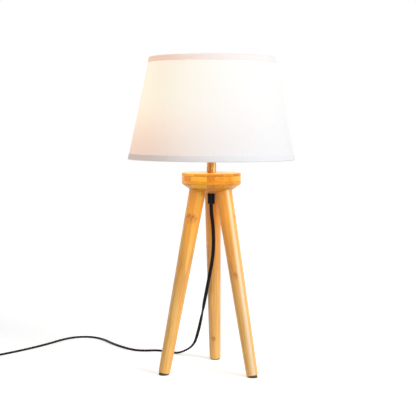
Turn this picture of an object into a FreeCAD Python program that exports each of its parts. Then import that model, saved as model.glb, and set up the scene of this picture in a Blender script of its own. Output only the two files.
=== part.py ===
"""Tripod table lamp: a laminated bamboo head on three turned legs, a brass stem, an E14 holder with a
globe bulb, a conical fabric shade, and a flat flex with an in-line rocker switch and a two-pin plug.

Millimetres, +Z up. The origin is on the floor, under the axis of the stem. One leg stands at the back (+Y).
"""
import FreeCAD, Part
import math
import os

import Sketcher
from FreeCAD import Placement, Rotation, Vector

doc = FreeCAD.newDocument("tripod_table_lamp")

# ---------------------------------------------------------------------------------------------- sizes

SIZES = {
    "tripod": {
        "foot_circle": 70.1,  # radius of the circle through the middles of the three feet
        "leg_top_circle": 21.4,  # radius of the circle that the legs' axes meet level with the head's underside
        "leg_foot_radius": 8.1,
        "leg_head_radius": 11.5,
        "leg_edge": 0.9,  # round of the foot end's edge
        "first_leg_turn": 90.0,  # degrees from +X to the back leg
        "head_height": 276.0,  # floor to the top of the head
        "head_radius": 40.8,
        "head_thickness": 27.8,  # at the middle
        "head_band": 15.4,  # the upright side
        "head_flat": 14.0,  # radius of the flat underside
        "head_cone": 28.5,  # radius where the cone round the flat meets the curved flank
        "head_cone_rise": 3.7,  # of the cone, from the flat to the flank
        "head_flank_round": 12.0,
        "head_band_round": 3.5,
        "head_edge": 1.0,
        "seat_depth": 4.15,  # from the underside up to the socket's floor, on a leg's axis
        "seat_play": 0.3,
        "pad_radius": 7.0,
        "pad_least": 1.2,  # the rubber foot at its thin, inner side
    },
    "leg_joint": {
        "bolt_radius": 4.0,
        "bolt_in_leg": 28.0,
        "bolt_point": 4.0,
        "bolt_in_head": 14.0,
        "bolt_edge": 0.6,
        "insert_radius": 5.5,
        "insert_length": 13.0,
        "insert_sunk": 1.0,
        "insert_hole": 17.0,
        "fit": 0.05,  # radial clearance of pieces that are screwed or pushed together
        "overshoot": 1.0,  # how far a cutter reaches past the face that it opens
    },
    "stem": {
        "tube_radius": 4.0,
        "tube_bore": 2.9,
        "tube_end_edge": 0.4,
        "tube_proud": 1.0,  # above the cap's thread
        "nut_across_flats": 13.0,
        "nut_corner_radius": 7.28,
        "nut_thickness": 3.5,
        "washer_radius": 7.5,
        "washer_thickness": 1.0,
        "nut_pocket_radius": 8.0,
        "nut_pocket_depth": 6.3,
        "sleeve_radius": 6.5,
        "sleeve_wall": 0.8,
        "sleeve_length": 22.0,
        "sleeve_edge": 0.3,
    },
    "gland": {
        "gland_radius": 5.2,
        "gland_end_radius": 5.0,
        "gland_length": 17.0,
        "gland_grip": 9.0,  # how far the tube is screwed in
        "gland_mouth": 2.6,
        "gland_edge": 0.8,
        "gland_mouth_edge": 0.3,
        "grip_screw_radius": 1.5,
        "grip_screw_height": 4.2,  # above the gland's lower end
        "grip_screw_length": 2.9,
    },
    "holder": {
        "cap_neck_radius": 7.5,
        "cap_neck": 5.0,
        "cap_thread": 8.0,
        "cap_radius": 15.5,
        "cap_dome_radius": 10.0,
        "cap_length": 20.0,
        "cap_wall": 1.8,
        "shell_radius": 14.0,
        "shell_wall": 1.8,
        "shell_edge": 0.6,
        "shell_length": 38.0,
        "shell_spigot": 6.0,
        "collar_radius": 16.0,
        "collar_thickness": 3.0,
        "core_height": 30.0,
        "core_floor": 14.0,
        "screw_shell_radius": 7.0,  # bore of the E14 screw shell
        "screw_shell_wall": 0.45,
        "screw_shell_lip": 1.0,
        "screw_shell_length": 23.0,
        "tongue_width": 4.0,
        "tongue_thickness": 0.5,
        "tongue_rise": 3.6,
        "tongue_foot": 1.9,  # from the axis to where the tongue leaves the floor
        "tongue_tip": 2.0,
        "terminal_radius": 1.5,
        "terminal_head_radius": 2.8,
        "terminal_head": 2.0,
        "terminal_offset": 8.0,
        "terminal_length": 6.0,
    },
    "shade": {
        "shade_bottom_radius": 115.0,
        "shade_top_radius": 86.0,
        "shade_height": 139.0,
        "shade_recess": 27.3,  # how far the hub lies above the lower rim
        "skin_thickness": 0.8,
        "hem_height": 8.0,
        "hem_thickness": 0.5,
        "hem_tuck": 4.6,  # the hem's inner side, over the wire ring
        "hem_slit": 4.4,  # width of the gap that an arm passes through
        "hem_slit_depth": 6.0,
        "wire_radius": 1.5,
        "arm_radius": 1.2,
        "arm_flat_reach": 42.0,  # where an arm bends down towards the rim
        "arm_bend_radius": 12.0,
        "hub_radius": 21.0,
        "hub_thickness": 1.6,
        "ring_radius": 17.6,
        "ring_flange_radius": 18.9,
        "ring_flange": 2.0,
        "ring_height": 8.5,
        "ring_rib_count": 18.0,
        "ring_rib_radius": 0.9,
        "ring_edge": 0.8,
        "running_gap": 0.3,  # between pieces that move past one another
        "shaft_gap": 0.06,  # radial clearance of a shaft in its bore
    },
    "bulb": {
        "bulb_thread_radius": 6.95,  # E14
        "bulb_cap_wall": 0.4,
        "bulb_cap_length": 19.0,
        "bulb_tip_radius": 2.6,
        "bulb_tip_height": 1.4,
        "bulb_tip_edge": 0.84,
        "bulb_tip_round": 4.16,
        "bulb_glass_height": 2.6,
        "bulb_glass_foot": 3.4,
        "bulb_neck_radius": 8.4,
        "bulb_neck_height": 3.0,
        "bulb_radius": 22.5,
        "bulb_globe_cut": 10.5,  # how far below its middle the globe ends
        "globe_wall": 1.0,
        "bulb_shoulder": 22.0,  # height of the housing above the cap
        "housing_rim": 1.4,
        "board_recess": 3.0,
        "board_step": 1.8,
        "board_thickness": 1.6,
        "board_play": 0.4,
    },
    "switch": {
        "switch_left": 352.0,  # where it lies: to the left of the stem, and in front of it
        "switch_front": 32.0,
        "switch_length": 62.0,
        "switch_width": 27.0,
        "switch_end_width": 14.0,
        "switch_straight": 38.0,
        "switch_corner": 4.5,
        "base_height": 8.0,
        "cover_height": 8.5,
        "cover_round": 2.2,
        "base_edge": 1.1,
        "housing_wall": 2.0,
        "switch_room_length": 42.0,
        "rocker_length": 15.6,
        "rocker_width": 10.0,
        "rocker_end_height": 4.9,
        "rocker_middle_height": 4.3,
        "rocker_shoulder": 0.6,
        "rocker_belly": 2.5,
        "rocker_belly_half": 3.2,
        "rocker_hollow": 49.92,  # radius of the two slightly hollow halves of its top
        "rocker_swing": 8.0,  # degrees to each side
        "window_play": 1.0,
        "window_side_play": 0.3,
        "pivot_radius": 1.5,
        "pivot_height": 4.5,  # above the parting plane
        "pivot_length": 1.6,
        "cheek_thickness": 2.0,
        "cheek_half": 3.4,
        "cheek_below": 2.6,
        "switch_screw_offset": 25.0,
        "switch_screw_radius": 1.5,
        "switch_screw_head": 2.7,
        "switch_screw_sunk": 1.8,
        "switch_screw_length": 11.0,
        "terminal_block": 6.0,
        "terminal_block_width": 5.0,
        "terminal_block_height": 4.5,
        "terminal_block_offset": 13.0,
    },
    "plug": {
        "plug_width": 35.3,
        "plug_thickness": 13.7,
        "plug_length": 30.0,
        "plug_face_depth": 5.0,
        "plug_waist": 13.0,
        "plug_edge": 2.6,
        "pin_radius": 2.0,
        "pin_length": 19.0,
        "pin_spacing": 18.6,  # at the face
        "pin_tip_spacing": 17.5,
        "pin_bare": 9.0,
        "pin_core": 1.4,
        "pin_root": 10.0,
        "pin_sleeve_radius": 1.8,
        "pin_tip_edge": 0.9,
        "tail_length": 20.0,
        "tail_radius": 4.6,
        "tail_end_radius": 3.5,
        "tail_groove": 0.7,
        "tail_grooves": 5.0,
    },
    "flex": {
        "flex_radius": 2.0,  # the round tube with the section of the 5.0 by 2.8 flat flex
        "core_radius": 0.9,
        "core_apart": 1.15,
        "core_bend": 1.5,
        "core_gap": 0.3,  # under the terminal screws' heads
        "sheath_end": 2.2,  # below the tube's upper end
        "coil_left": 327.0,
        "coil_front": 136.0,
        "coil_radius": 29.0,  # at the middle of the turns
        "coil_pitch": 5.3,
        "coil_turns": 2.25,  # in each of the two layers
    },
}


def filled_sheet():
    """One row for each size: its name, and its value under that name as an alias."""
    sheet = doc.addObject("Spreadsheet::Sheet", "sizes")
    row = 0
    for group in SIZES.values():
        for alias, value in group.items():
            row += 1
            sheet.set(f"A{row}", alias)
            sheet.set(f"B{row}", str(value))
            sheet.setAlias(f"B{row}", alias)
    doc.recompute()
    return sheet


sizes = filled_sheet()


class Size:
    """A value together with the expression that works it out from the sheet."""

    def __init__(self, value, text):
        self.value = value
        self.text = text

    def joined(self, other, sign, value):
        return Size(value, f"({self.text} {sign} {size(other).text})")

    def __add__(self, other):
        return self.joined(other, "+", self.value + size(other).value)

    def __sub__(self, other):
        return self.joined(other, "-", self.value - size(other).value)

    def __mul__(self, other):
        return self.joined(other, "*", self.value * size(other).value)

    def __truediv__(self, other):
        return self.joined(other, "/", self.value / size(other).value)

    def __neg__(self):
        return Size(-self.value, f"(0 - {self.text})")


def size(given):
    return given if isinstance(given, Size) else Size(float(given), str(given))


def cosine(angle):
    return Size(math.cos(math.radians(angle.value)), f"cos({angle.text} * 1deg)")


def root(square):
    return Size(math.sqrt(square.value), f"sqrt({square.text})")


class Sheet:
    """Each alias of the sheet as an attribute that holds its Size."""

    def __getattr__(self, alias):
        return Size(float(sizes.get(alias)), f"{sizes.Name}.{alias}")


mm = Sheet()

# -------------------------------------------------------------------------------------------- helpers


def bind(thing, **properties):
    for name, given in properties.items():
        thing.setExpression(name, size(given).text)


def place(thing, x=0, y=0, z=0):
    """Move a piece along the axes by values of the sheet."""
    thing.Placement = Placement(Vector(size(x).value, size(y).value, size(z).value), Rotation())
    for axis, given in (("x", x), ("y", y), ("z", z)):
        if isinstance(given, Size):
            thing.setExpression(f".Placement.Base.{axis}", given.text)


def sketch_on(body, role):
    """A new sketch on one of the body's own origin planes."""
    plane = next(f for f in body.Origin.OriginFeatures if f.Role == role)
    sketch = body.newObject("Sketcher::SketchObject", f"{body.Name}_outline")
    sketch.AttachmentSupport = [(plane, "")]
    sketch.MapMode = "FlatFace"
    return sketch


def arc_curve(start, end, radius):
    """The short arc between two points. It turns left for a positive radius, right for a negative one."""
    first, last = (start, end) if radius > 0 else (end, start)
    half = (last - first) * 0.5
    reach = math.sqrt(max(radius * radius - half.Length**2, 0.0))
    centre = first + half + Vector(-half.y, half.x, 0).normalize() * reach
    angles = [math.atan2(p.y - centre.y, p.x - centre.x) for p in (first, last)]
    return Part.ArcOfCircle(Part.Circle(centre, Vector(0, 0, 1), abs(radius)), *angles)


def hold_point(sketch, edge, end, x, y):
    """Fix one end of an edge at a place that follows the sheet."""
    for kind, given, axis in (("DistanceX", x, -2), ("DistanceY", y, -1)):
        given = size(given)
        if given.text in ("0", "0.0"):
            sketch.addConstraint(Sketcher.Constraint("PointOnObject", edge, end, axis))
            continue
        index = sketch.addConstraint(Sketcher.Constraint(kind, -1, 1, edge, end, given.value))
        sketch.setExpression(f"Constraints[{index}]", given.text)


def draw_loop(sketch, corners):
    """Draw a closed loop through the corners. A corner is (x, y), reached by a line, or (x, y, radius),
    reached by an arc that turns left for a positive radius and right for a negative one."""
    points = [Vector(size(c[0]).value, size(c[1]).value, 0) for c in corners]
    edges = []
    for i, corner in enumerate(corners):
        if len(corner) == 2:
            edge = sketch.addGeometry(Part.LineSegment(points[i - 1], points[i]), False)
            edges.append((edge, 1, 2))
            continue
        radius = size(corner[2])
        edge = sketch.addGeometry(arc_curve(points[i - 1], points[i], radius.value), False)
        edges.append((edge, 1, 2) if radius.value > 0 else (edge, 2, 1))
        index = sketch.addConstraint(Sketcher.Constraint("Radius", edge, abs(radius.value)))
        text = radius.text if radius.value > 0 else (-radius).text
        sketch.setExpression(f"Constraints[{index}]", text)
    for i, (edge, _, end) in enumerate(edges):
        following, start, _ = edges[(i + 1) % len(edges)]
        sketch.addConstraint(Sketcher.Constraint("Coincident", edge, end, following, start))
        hold_point(sketch, edge, end, corners[i][0], corners[i][1])
    return sketch


def turned(label, corners):
    """A body turned about its Z axis. The corners are (radius, height)."""
    body = doc.addObject("PartDesign::Body", label)
    sketch = draw_loop(sketch_on(body, "XZ_Plane"), corners)
    turn = body.newObject("PartDesign::Revolution", f"{label}_turn")
    turn.Profile = sketch
    turn.ReferenceAxis = (sketch, ["V_Axis"])
    turn.Angle = 360
    sketch.Visibility = False
    return body


def raised(label, plane, corners, length, midplane=False):
    """A body padded from an outline on one of its origin planes."""
    body = doc.addObject("PartDesign::Body", label)
    pad = body.newObject("PartDesign::Pad", f"{label}_pad")
    pad.Profile = draw_loop(sketch_on(body, plane), corners)
    bind(pad, Length=length)
    pad.Midplane = midplane
    return body


def soften(body, radius, wanted, feature="Fillet"):
    """Round or chamfer the edges of the body's last feature that the test picks."""
    doc.recompute()
    last = body.Tip
    names = [f"Edge{i}" for i, edge in enumerate(last.Shape.Edges, 1) if wanted(edge)]
    if not names:
        raise RuntimeError(f"{body.Name}: no edge to soften")
    softened = body.newObject(f"PartDesign::{feature}", f"{body.Name}_{feature.lower()}{len(body.Group)}")
    softened.Base = (last, names)
    bind(softened, **{"Radius" if feature == "Fillet" else "Size": radius})
    doc.recompute()
    return softened


def is_ring(radius, height):
    """A test for the full circle of this radius at this height about the Z axis."""

    def found(edge):
        curve = edge.Curve
        return (
            isinstance(curve, Part.Circle)
            and abs(curve.Radius - size(radius).value) < 0.01
            and abs(curve.Center.z - size(height).value) < 0.01
            and math.hypot(curve.Center.x, curve.Center.y) < 0.01
        )

    return found


def cylinder(label, radius, height, x=0, y=0, z=0):
    rod = doc.addObject("Part::Cylinder", label)
    bind(rod, Radius=radius, Height=height)
    place(rod, x, y, z)
    return rod


def box(label, length, width, height):
    block = doc.addObject("Part::Box", label)
    bind(block, Length=length, Width=width, Height=height)
    return block


def cut(label, base, *tools):
    """The base without the tools."""
    tool = tools[0] if len(tools) == 1 else compound(f"{label}_cutters", *tools)
    result = doc.addObject("Part::Cut", label)
    result.Base, result.Tool = base, tool
    return result


def fused(label, *pieces):
    result = doc.addObject("Part::MultiFuse", label)
    result.Shapes = list(pieces)
    return result


def compound(label, *pieces):
    result = doc.addObject("Part::Compound", label)
    result.Links = list(pieces)
    return result


def placed(thing, placement):
    thing.Placement = placement
    return thing


nodes = []


def node(thing):
    """Count a finished piece among the lamp's nodes."""
    nodes.append(thing)
    return thing


# -------------------------------------------------------------------- levels of the stack on the axis

play = mm.running_gap
underside = mm.head_height - mm.head_thickness
slope = (mm.foot_circle - mm.leg_top_circle) / underside  # how far a leg leans in as it rises
slope_sine = slope / root(slope * slope + 1)
lean = math.degrees(math.atan(slope.value))
pocket_ceiling = underside + mm.nut_pocket_depth
washer_level = pocket_ceiling - mm.washer_thickness
nut_level = washer_level - mm.nut_thickness
gland_level = nut_level - mm.gland_length
tube_level = nut_level - mm.gland_grip
cap_level = mm.head_height + mm.sleeve_length
tube_length = cap_level + mm.cap_thread + mm.tube_proud - tube_level
parting_level = cap_level + mm.cap_length
spigot_level = parting_level - mm.shell_spigot
collar_level = parting_level + mm.collar_thickness
hub_level = collar_level + play
ring_level = hub_level + mm.hub_thickness + play
shade_level = hub_level - mm.shade_recess
core_level = spigot_level
core_floor_level = core_level + mm.core_floor
tip_level = core_floor_level + mm.tongue_thickness + mm.tongue_rise + play

# ------------------------------------------------------------------------------- the head and its legs

LEGS = ("back", "front_left", "front_right")


def leg_directions():
    return [mm.first_leg_turn.value + 120 * i for i in range(len(LEGS))]


pad_level = mm.pad_least + mm.pad_radius * slope_sine  # middle of a leg's foot end
foot_axis = mm.foot_circle - pad_level * slope
leg_length = (underside + mm.seat_depth - pad_level) * root(slope * slope + 1)
seat_radius = mm.leg_head_radius + mm.seat_play


def leg_frame(direction, along=0.0):
    """The frame of a leg: its origin at the foot end's middle, or further up the leg, and Z along the leg."""
    turn = Rotation(Vector(0, 0, 1), direction) * Rotation(Vector(0, 1, 0), -lean)
    radial = Rotation(Vector(0, 0, 1), direction).multVec(Vector(foot_axis.value, 0, 0))
    foot = radial + Vector(0, 0, pad_level.value)
    return Placement(foot + turn.multVec(Vector(0, 0, along)), turn)


def make_legs():
    bore = mm.bolt_radius + mm.fit
    for name, direction in zip(LEGS, leg_directions()):
        leg = turned(
            f"leg_{name}",
            [
                (0, 0),
                (mm.leg_foot_radius, 0),
                (mm.leg_head_radius, leg_length),
                (bore, leg_length),
                (bore, leg_length - mm.bolt_in_leg),
                (0, leg_length - mm.bolt_in_leg),
            ],
        )
        soften(leg, mm.leg_edge, is_ring(mm.leg_foot_radius, 0))
        node(placed(leg, leg_frame(direction)))


def make_foot_pads():
    """Rubber feet: glued square to the leg, moulded with a flat sole that lies on the floor."""
    for name, direction in zip(LEGS, leg_directions()):
        height = mm.pad_radius * 2
        blank = cylinder(f"pad_blank_{name}", mm.pad_radius, height)
        frame = leg_frame(direction)
        blank.Placement = frame * Placement(Vector(0, 0, -height.value), Rotation())
        below = box(f"pad_floor_{name}", mm.foot_circle * 4, mm.foot_circle * 4, height * 2)
        place(below, -mm.foot_circle * 2, -mm.foot_circle * 2, -height * 2)
        node(cut(f"foot_pad_{name}", blank, below))


def make_leg_bolts():
    bolts, inserts = [], []
    seat = leg_length.value
    for name, direction in zip(LEGS, leg_directions()):
        bolt = turned(
            f"bolt_{name}",
            [
                (0, -mm.bolt_in_leg + mm.fit),
                (mm.bolt_radius, -mm.bolt_in_leg + mm.bolt_point + mm.fit),
                (mm.bolt_radius, mm.bolt_in_head),
                (0, mm.bolt_in_head),
            ],
        )
        soften(bolt, mm.bolt_edge, is_ring(mm.bolt_radius, mm.bolt_in_head), "Chamfer")
        insert = turned(
            f"insert_{name}",
            [
                (mm.bolt_radius + mm.fit, mm.insert_sunk),
                (mm.insert_radius, mm.insert_sunk),
                (mm.insert_radius, mm.insert_sunk + mm.insert_length),
                (mm.bolt_radius + mm.fit, mm.insert_sunk + mm.insert_length),
            ],
        )
        bolts.append(placed(bolt, leg_frame(direction, seat)))
        inserts.append(placed(insert, leg_frame(direction, seat)))
    node(compound("leg_hanger_bolts", *bolts))
    node(compound("leg_threaded_inserts", *inserts))


def make_head():
    """Turned from a laminated block, with a nut pocket below and a socket and a hole for each leg."""
    bore = mm.tube_radius + mm.fit
    band_level = mm.head_height - mm.head_band
    blank = turned(
        "head_blank",
        [
            (bore, mm.head_height),
            (bore, pocket_ceiling),
            (mm.nut_pocket_radius, pocket_ceiling),
            (mm.nut_pocket_radius, underside),
            (mm.head_flat, underside),
            (mm.head_cone, underside + mm.head_cone_rise),
            (mm.head_radius, band_level),
            (mm.head_radius, mm.head_height),
        ],
    )
    soften(blank, mm.head_flank_round, is_ring(mm.head_cone, underside + mm.head_cone_rise))
    soften(blank, mm.head_band_round, is_ring(mm.head_radius, band_level))
    soften(blank, mm.head_edge, is_ring(mm.head_radius, mm.head_height))
    cutters = []
    for name, direction in zip(LEGS, leg_directions()):
        socket = cylinder(f"seat_{name}", seat_radius, mm.head_radius)
        socket.Placement = leg_frame(direction, leg_length.value - mm.head_radius.value)
        hole = cylinder(f"insert_hole_{name}", mm.insert_radius + mm.fit, mm.insert_hole + mm.overshoot)
        hole.Placement = leg_frame(direction, (leg_length - mm.overshoot).value)
        cutters += [socket, hole]
    node(cut("tripod_head", blank, *cutters))


# --------------------------------------------------------------------------------- stem and cord gland


def ring_outline(inner, outer, height):
    return [(inner, 0), (outer, 0), (outer, height), (inner, height)]


def make_stem():
    tube = turned("threaded_tube", ring_outline(mm.tube_bore, mm.tube_radius, tube_length))
    soften(tube, mm.tube_end_edge, is_ring(mm.tube_radius, 0), "Chamfer")
    soften(tube, mm.tube_end_edge, is_ring(mm.tube_radius, tube_length), "Chamfer")
    place(node(tube), z=tube_level)

    inside = mm.sleeve_radius - mm.sleeve_wall
    sleeve = turned("stem_sleeve", ring_outline(inside, mm.sleeve_radius, mm.sleeve_length))
    soften(sleeve, mm.sleeve_edge, is_ring(mm.sleeve_radius, mm.sleeve_length))
    place(node(sleeve), z=mm.head_height)

    bore = mm.tube_radius + mm.fit
    washer = turned("tube_washer", ring_outline(bore, mm.washer_radius, mm.washer_thickness))
    place(node(washer), z=washer_level)

    blank = doc.addObject("Part::Prism", "nut_blank")
    blank.Polygon = 6
    bind(blank, Circumradius=mm.nut_across_flats / 2 / cosine(size(30)), Height=mm.nut_thickness)
    place(blank, z=nut_level)
    corner_cut = cylinder("nut_corners", mm.nut_corner_radius, mm.nut_thickness, z=nut_level)
    turned_nut = doc.addObject("Part::Common", "nut_turned")
    turned_nut.Base, turned_nut.Tool = blank, corner_cut
    hole = cylinder("nut_hole", bore, mm.nut_thickness + mm.overshoot * 2, z=nut_level - mm.overshoot)
    node(cut("tube_lock_nut", turned_nut, hole))


def make_gland():
    """The cord grip under the head: screwed on the tube, its mouth narrower than its thread."""
    bore = mm.tube_radius + mm.fit
    step = mm.gland_length - mm.gland_grip - mm.fit
    body = turned(
        "gland_body",
        [
            (mm.gland_mouth, 0),
            (mm.gland_end_radius, 0),
            (mm.gland_radius, step),
            (mm.gland_radius, mm.gland_length),
            (bore, mm.gland_length),
            (bore, step),
            (mm.gland_mouth, step),
        ],
    )
    soften(body, mm.gland_edge, is_ring(mm.gland_end_radius, 0))
    soften(body, mm.gland_mouth_edge, is_ring(mm.gland_mouth, 0))
    place(body, z=gland_level)
    screw_level = gland_level + mm.grip_screw_height
    start = mm.flex_radius + mm.fit
    screw = cylinder("gland_screw", mm.grip_screw_radius, mm.grip_screw_length)
    tap = cylinder("gland_tapping", mm.grip_screw_radius + mm.fit, mm.gland_radius * 2)
    for rod, reach in ((screw, start), (tap, size(0))):
        rod.Placement = Placement(Vector(0, 0, screw_level.value), Rotation(Vector(1, 0, 0), -90))
        rod.setExpression(".Placement.Base.y", reach.text)
        rod.setExpression(".Placement.Base.z", screw_level.text)
    node(cut("cord_gland", body, tap))
    node(screw)


# -------------------------------------------------------------------------------------- lamp holder


def make_holder():
    """An E14 holder in three mouldings: cap, threaded shell with a collar, and the core with its contacts."""
    bore = mm.tube_radius + mm.fit
    shell_bore = mm.shell_radius - mm.shell_wall
    spigot = mm.cap_radius - mm.cap_wall - mm.fit
    dome = mm.cap_radius - mm.cap_neck_radius
    dome_level = mm.cap_neck + dome
    cap = turned(
        "holder_cap",
        [
            (bore, 0),
            (mm.cap_neck_radius, 0),
            (mm.cap_neck_radius, mm.cap_neck),
            (mm.cap_radius, dome_level, -mm.cap_dome_radius),
            (mm.cap_radius, mm.cap_length),
            (mm.cap_radius - mm.cap_wall, mm.cap_length),
            (mm.cap_radius - mm.cap_wall, dome_level + mm.cap_wall / 2),
            (mm.cap_neck_radius, mm.cap_thread),
            (bore, mm.cap_thread),
        ],
    )
    place(node(cap), z=cap_level)

    shell = turned(
        "holder_shell",
        [
            (shell_bore, 0),
            (spigot, 0),
            (spigot, mm.shell_spigot),
            (mm.collar_radius, mm.shell_spigot),
            (mm.collar_radius, mm.shell_spigot + mm.collar_thickness),
            (mm.shell_radius, mm.shell_spigot + mm.collar_thickness),
            (mm.shell_radius, mm.shell_spigot + mm.shell_length),
            (shell_bore, mm.shell_spigot + mm.shell_length),
        ],
    )
    soften(shell, mm.shell_edge, is_ring(mm.shell_radius, mm.shell_spigot + mm.shell_length))
    place(node(shell), z=spigot_level)

    core_radius = shell_bore - mm.fit
    well = mm.screw_shell_radius + mm.screw_shell_wall + mm.fit
    core = turned(
        "core_blank",
        [
            (0, 0),
            (core_radius, 0),
            (core_radius, mm.core_height),
            (well, mm.core_height),
            (well, mm.core_floor),
            (0, mm.core_floor),
        ],
    )
    place(core, z=core_level)
    depth = mm.terminal_length + mm.overshoot * 2
    start = core_level - mm.overshoot
    holes = [
        cylinder(f"terminal_hole_{i}", mm.terminal_radius + mm.fit, depth, x=x, z=start)
        for i, x in enumerate((mm.terminal_offset, -mm.terminal_offset))
    ]
    node(cut("holder_insulator", core, *holes))

    screws = []
    for i, x in enumerate((mm.terminal_offset, -mm.terminal_offset)):
        head_level = core_level - mm.terminal_head
        head = cylinder(f"terminal_head_{i}", mm.terminal_head_radius, mm.terminal_head, x=x, z=head_level)
        reach = mm.terminal_head + mm.terminal_length
        shank = cylinder(f"terminal_shank_{i}", mm.terminal_radius, reach, x=x, z=head_level)
        screws.append(fused(f"terminal_screw_{i}", head, shank))
    node(compound("holder_terminal_screws", *screws))

    outside = mm.screw_shell_radius + mm.screw_shell_wall
    lining = turned(
        "holder_screw_contact",
        [
            (mm.screw_shell_radius - mm.screw_shell_lip, 0),
            (outside, 0),
            (outside, mm.screw_shell_length),
            (mm.screw_shell_radius, mm.screw_shell_length),
            (mm.screw_shell_radius, mm.screw_shell_wall),
            (mm.screw_shell_radius - mm.screw_shell_lip, mm.screw_shell_wall),
        ],
    )
    place(node(lining), z=core_floor_level)

    thick = mm.tongue_thickness
    reach = mm.tongue_width
    tongue = raised(
        "holder_centre_contact",
        "XZ_Plane",
        [
            (-reach, 0),
            (reach, 0),
            (reach, thick),
            (-mm.tongue_foot, thick),
            (mm.tongue_tip, mm.tongue_rise),
            (mm.tongue_tip, mm.tongue_rise + thick),
            (-reach, thick * 2),
        ],
        mm.tongue_width,
        midplane=True,
    )
    place(node(tongue), z=core_floor_level)


# ---------------------------------------------------------------------------------------------- shade

taper = (mm.shade_bottom_radius - mm.shade_top_radius) / mm.shade_height
wire_reach = mm.wire_radius * root(taper * taper + 1) + mm.fit  # across, from the skin to a wire's middle


def shade_radius(height, inset=0):
    """Radius of the shade's outer surface at a height above its lower rim, less an inset."""
    return mm.shade_bottom_radius - taper * height - inset


def make_shade_skin():
    start = mm.hem_thickness
    end = mm.shade_height - mm.hem_thickness
    outer = mm.hem_thickness
    inner = mm.hem_thickness + mm.skin_thickness
    skin = turned(
        "shade_skin",
        [
            (shade_radius(start, inner), start),
            (shade_radius(start, outer), start),
            (shade_radius(end, outer), end),
            (shade_radius(end, inner), end),
        ],
    )
    place(node(skin), z=shade_level)


def hem_outline(rim, way):
    """Fabric rolled over the skin's edge and the wire ring: a channel that opens away from the rim. rim is
    the height of the edge above the shade's lower rim, and way is 1 at the bottom or -1 at the top."""
    thick = mm.hem_thickness
    room = mm.skin_thickness + wire_reach * 2

    def at(height, inset):
        level = rim + height if way > 0 else rim - height
        return shade_radius(level, inset), level

    return [
        at(size(0), 0),
        at(mm.hem_height, 0),
        at(mm.hem_height, thick),
        at(thick, thick),
        at(thick, thick + room),
        at(mm.hem_tuck, thick + room),
        at(mm.hem_tuck, thick * 2 + room),
        at(size(0), thick * 2 + room),
    ]


def make_hems(arm_turns):
    bottom = turned("hem_bottom_blank", hem_outline(size(0), 1))
    place(bottom, z=shade_level)
    slits = []
    inside = mm.hem_thickness + mm.skin_thickness + mm.wire_radius
    for i, turn in enumerate(arm_turns):
        slit = box(f"hem_slit_{i}", mm.hem_slit_depth, mm.hem_slit, mm.hem_tuck + mm.overshoot)
        frame = Rotation(Vector(0, 0, 1), turn)
        reach = (shade_radius(size(0), inside) - mm.hem_slit_depth).value
        corner = Vector(reach, -mm.hem_slit.value / 2, (shade_level + mm.hem_thickness).value)
        slit.Placement = Placement(frame.multVec(corner), frame)
        slits.append(slit)
    node(cut("shade_hem_bottom", bottom, *slits))
    top = turned("shade_hem_top", hem_outline(mm.shade_height, -1))
    place(node(top), z=shade_level)


def wire_seat(height):
    """Radius of a rim wire's middle, inside the skin at this height above the lower rim."""
    return shade_radius(height, mm.hem_thickness + mm.skin_thickness + wire_reach)


def wire_ring(label, height):
    ring = doc.addObject("Part::Torus", label)
    bind(ring, Radius1=wire_seat(height), Radius2=mm.wire_radius)
    place(ring, z=shade_level + height)
    return ring


def make_spider(arm_turns):
    """Hub, three bent arms and the lower rim wire, welded into one frame."""
    wire_height = mm.hem_thickness + mm.wire_radius + mm.fit
    hub_bore = mm.shell_radius + play
    hub = turned("spider_hub", ring_outline(hub_bore, mm.hub_radius, mm.hub_thickness))
    place(hub, z=hub_level)
    rim = wire_ring("spider_rim", wire_height)
    pieces = [hub, rim]
    arm_level = hub_level + mm.hub_thickness - mm.arm_radius
    start = Vector(mm.hub_radius.value - mm.arm_radius.value, 0, arm_level.value)
    bend = Vector(mm.arm_flat_reach.value, 0, arm_level.value)
    end = Vector(wire_seat(wire_height).value, 0, (shade_level + wire_height).value)
    for i, turn in enumerate(arm_turns):
        arm = doc.addObject("Part::Feature", f"spider_arm_{i}")
        path = bent_path([start, bend, end], mm.arm_bend_radius.value)
        arm.Shape = tube_along(path, mm.arm_radius.value)
        arm.Placement = Placement(Vector(), Rotation(Vector(0, 0, 1), turn))
        pieces.append(arm)
    node(fused("shade_spider_frame", *pieces))
    top_height = mm.shade_height - mm.hem_thickness - mm.wire_radius - mm.fit
    node(wire_ring("shade_top_wire", top_height))


def make_shade_ring():
    """The ribbed nut that holds the shade's hub on the holder's collar."""
    bore = mm.shell_radius + mm.shaft_gap
    blank = turned(
        "ring_blank",
        [
            (bore, 0),
            (mm.ring_flange_radius, 0),
            (mm.ring_flange_radius, mm.ring_flange),
            (mm.ring_radius, mm.ring_flange),
            (mm.ring_radius, mm.ring_height),
            (bore, mm.ring_height),
        ],
    )
    soften(blank, mm.ring_edge, is_ring(mm.ring_radius, mm.ring_height))
    place(blank, z=ring_level)
    ribs = []
    for i in range(round(mm.ring_rib_count.value)):
        turn = Rotation(Vector(0, 0, 1), 360 * i / mm.ring_rib_count.value)
        length = mm.ring_height - mm.ring_flange - mm.ring_rib_radius
        rib = cylinder(f"ring_rib_{i}", mm.ring_rib_radius, length)
        foot = Vector(mm.ring_radius.value, 0, (ring_level + mm.ring_flange / 2).value)
        rib.Placement = Placement(turn.multVec(foot), turn)
        ribs.append(rib)
    node(fused("shade_ring", blank, *ribs))


# ----------------------------------------------------------------------------------------------- bulb


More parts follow.
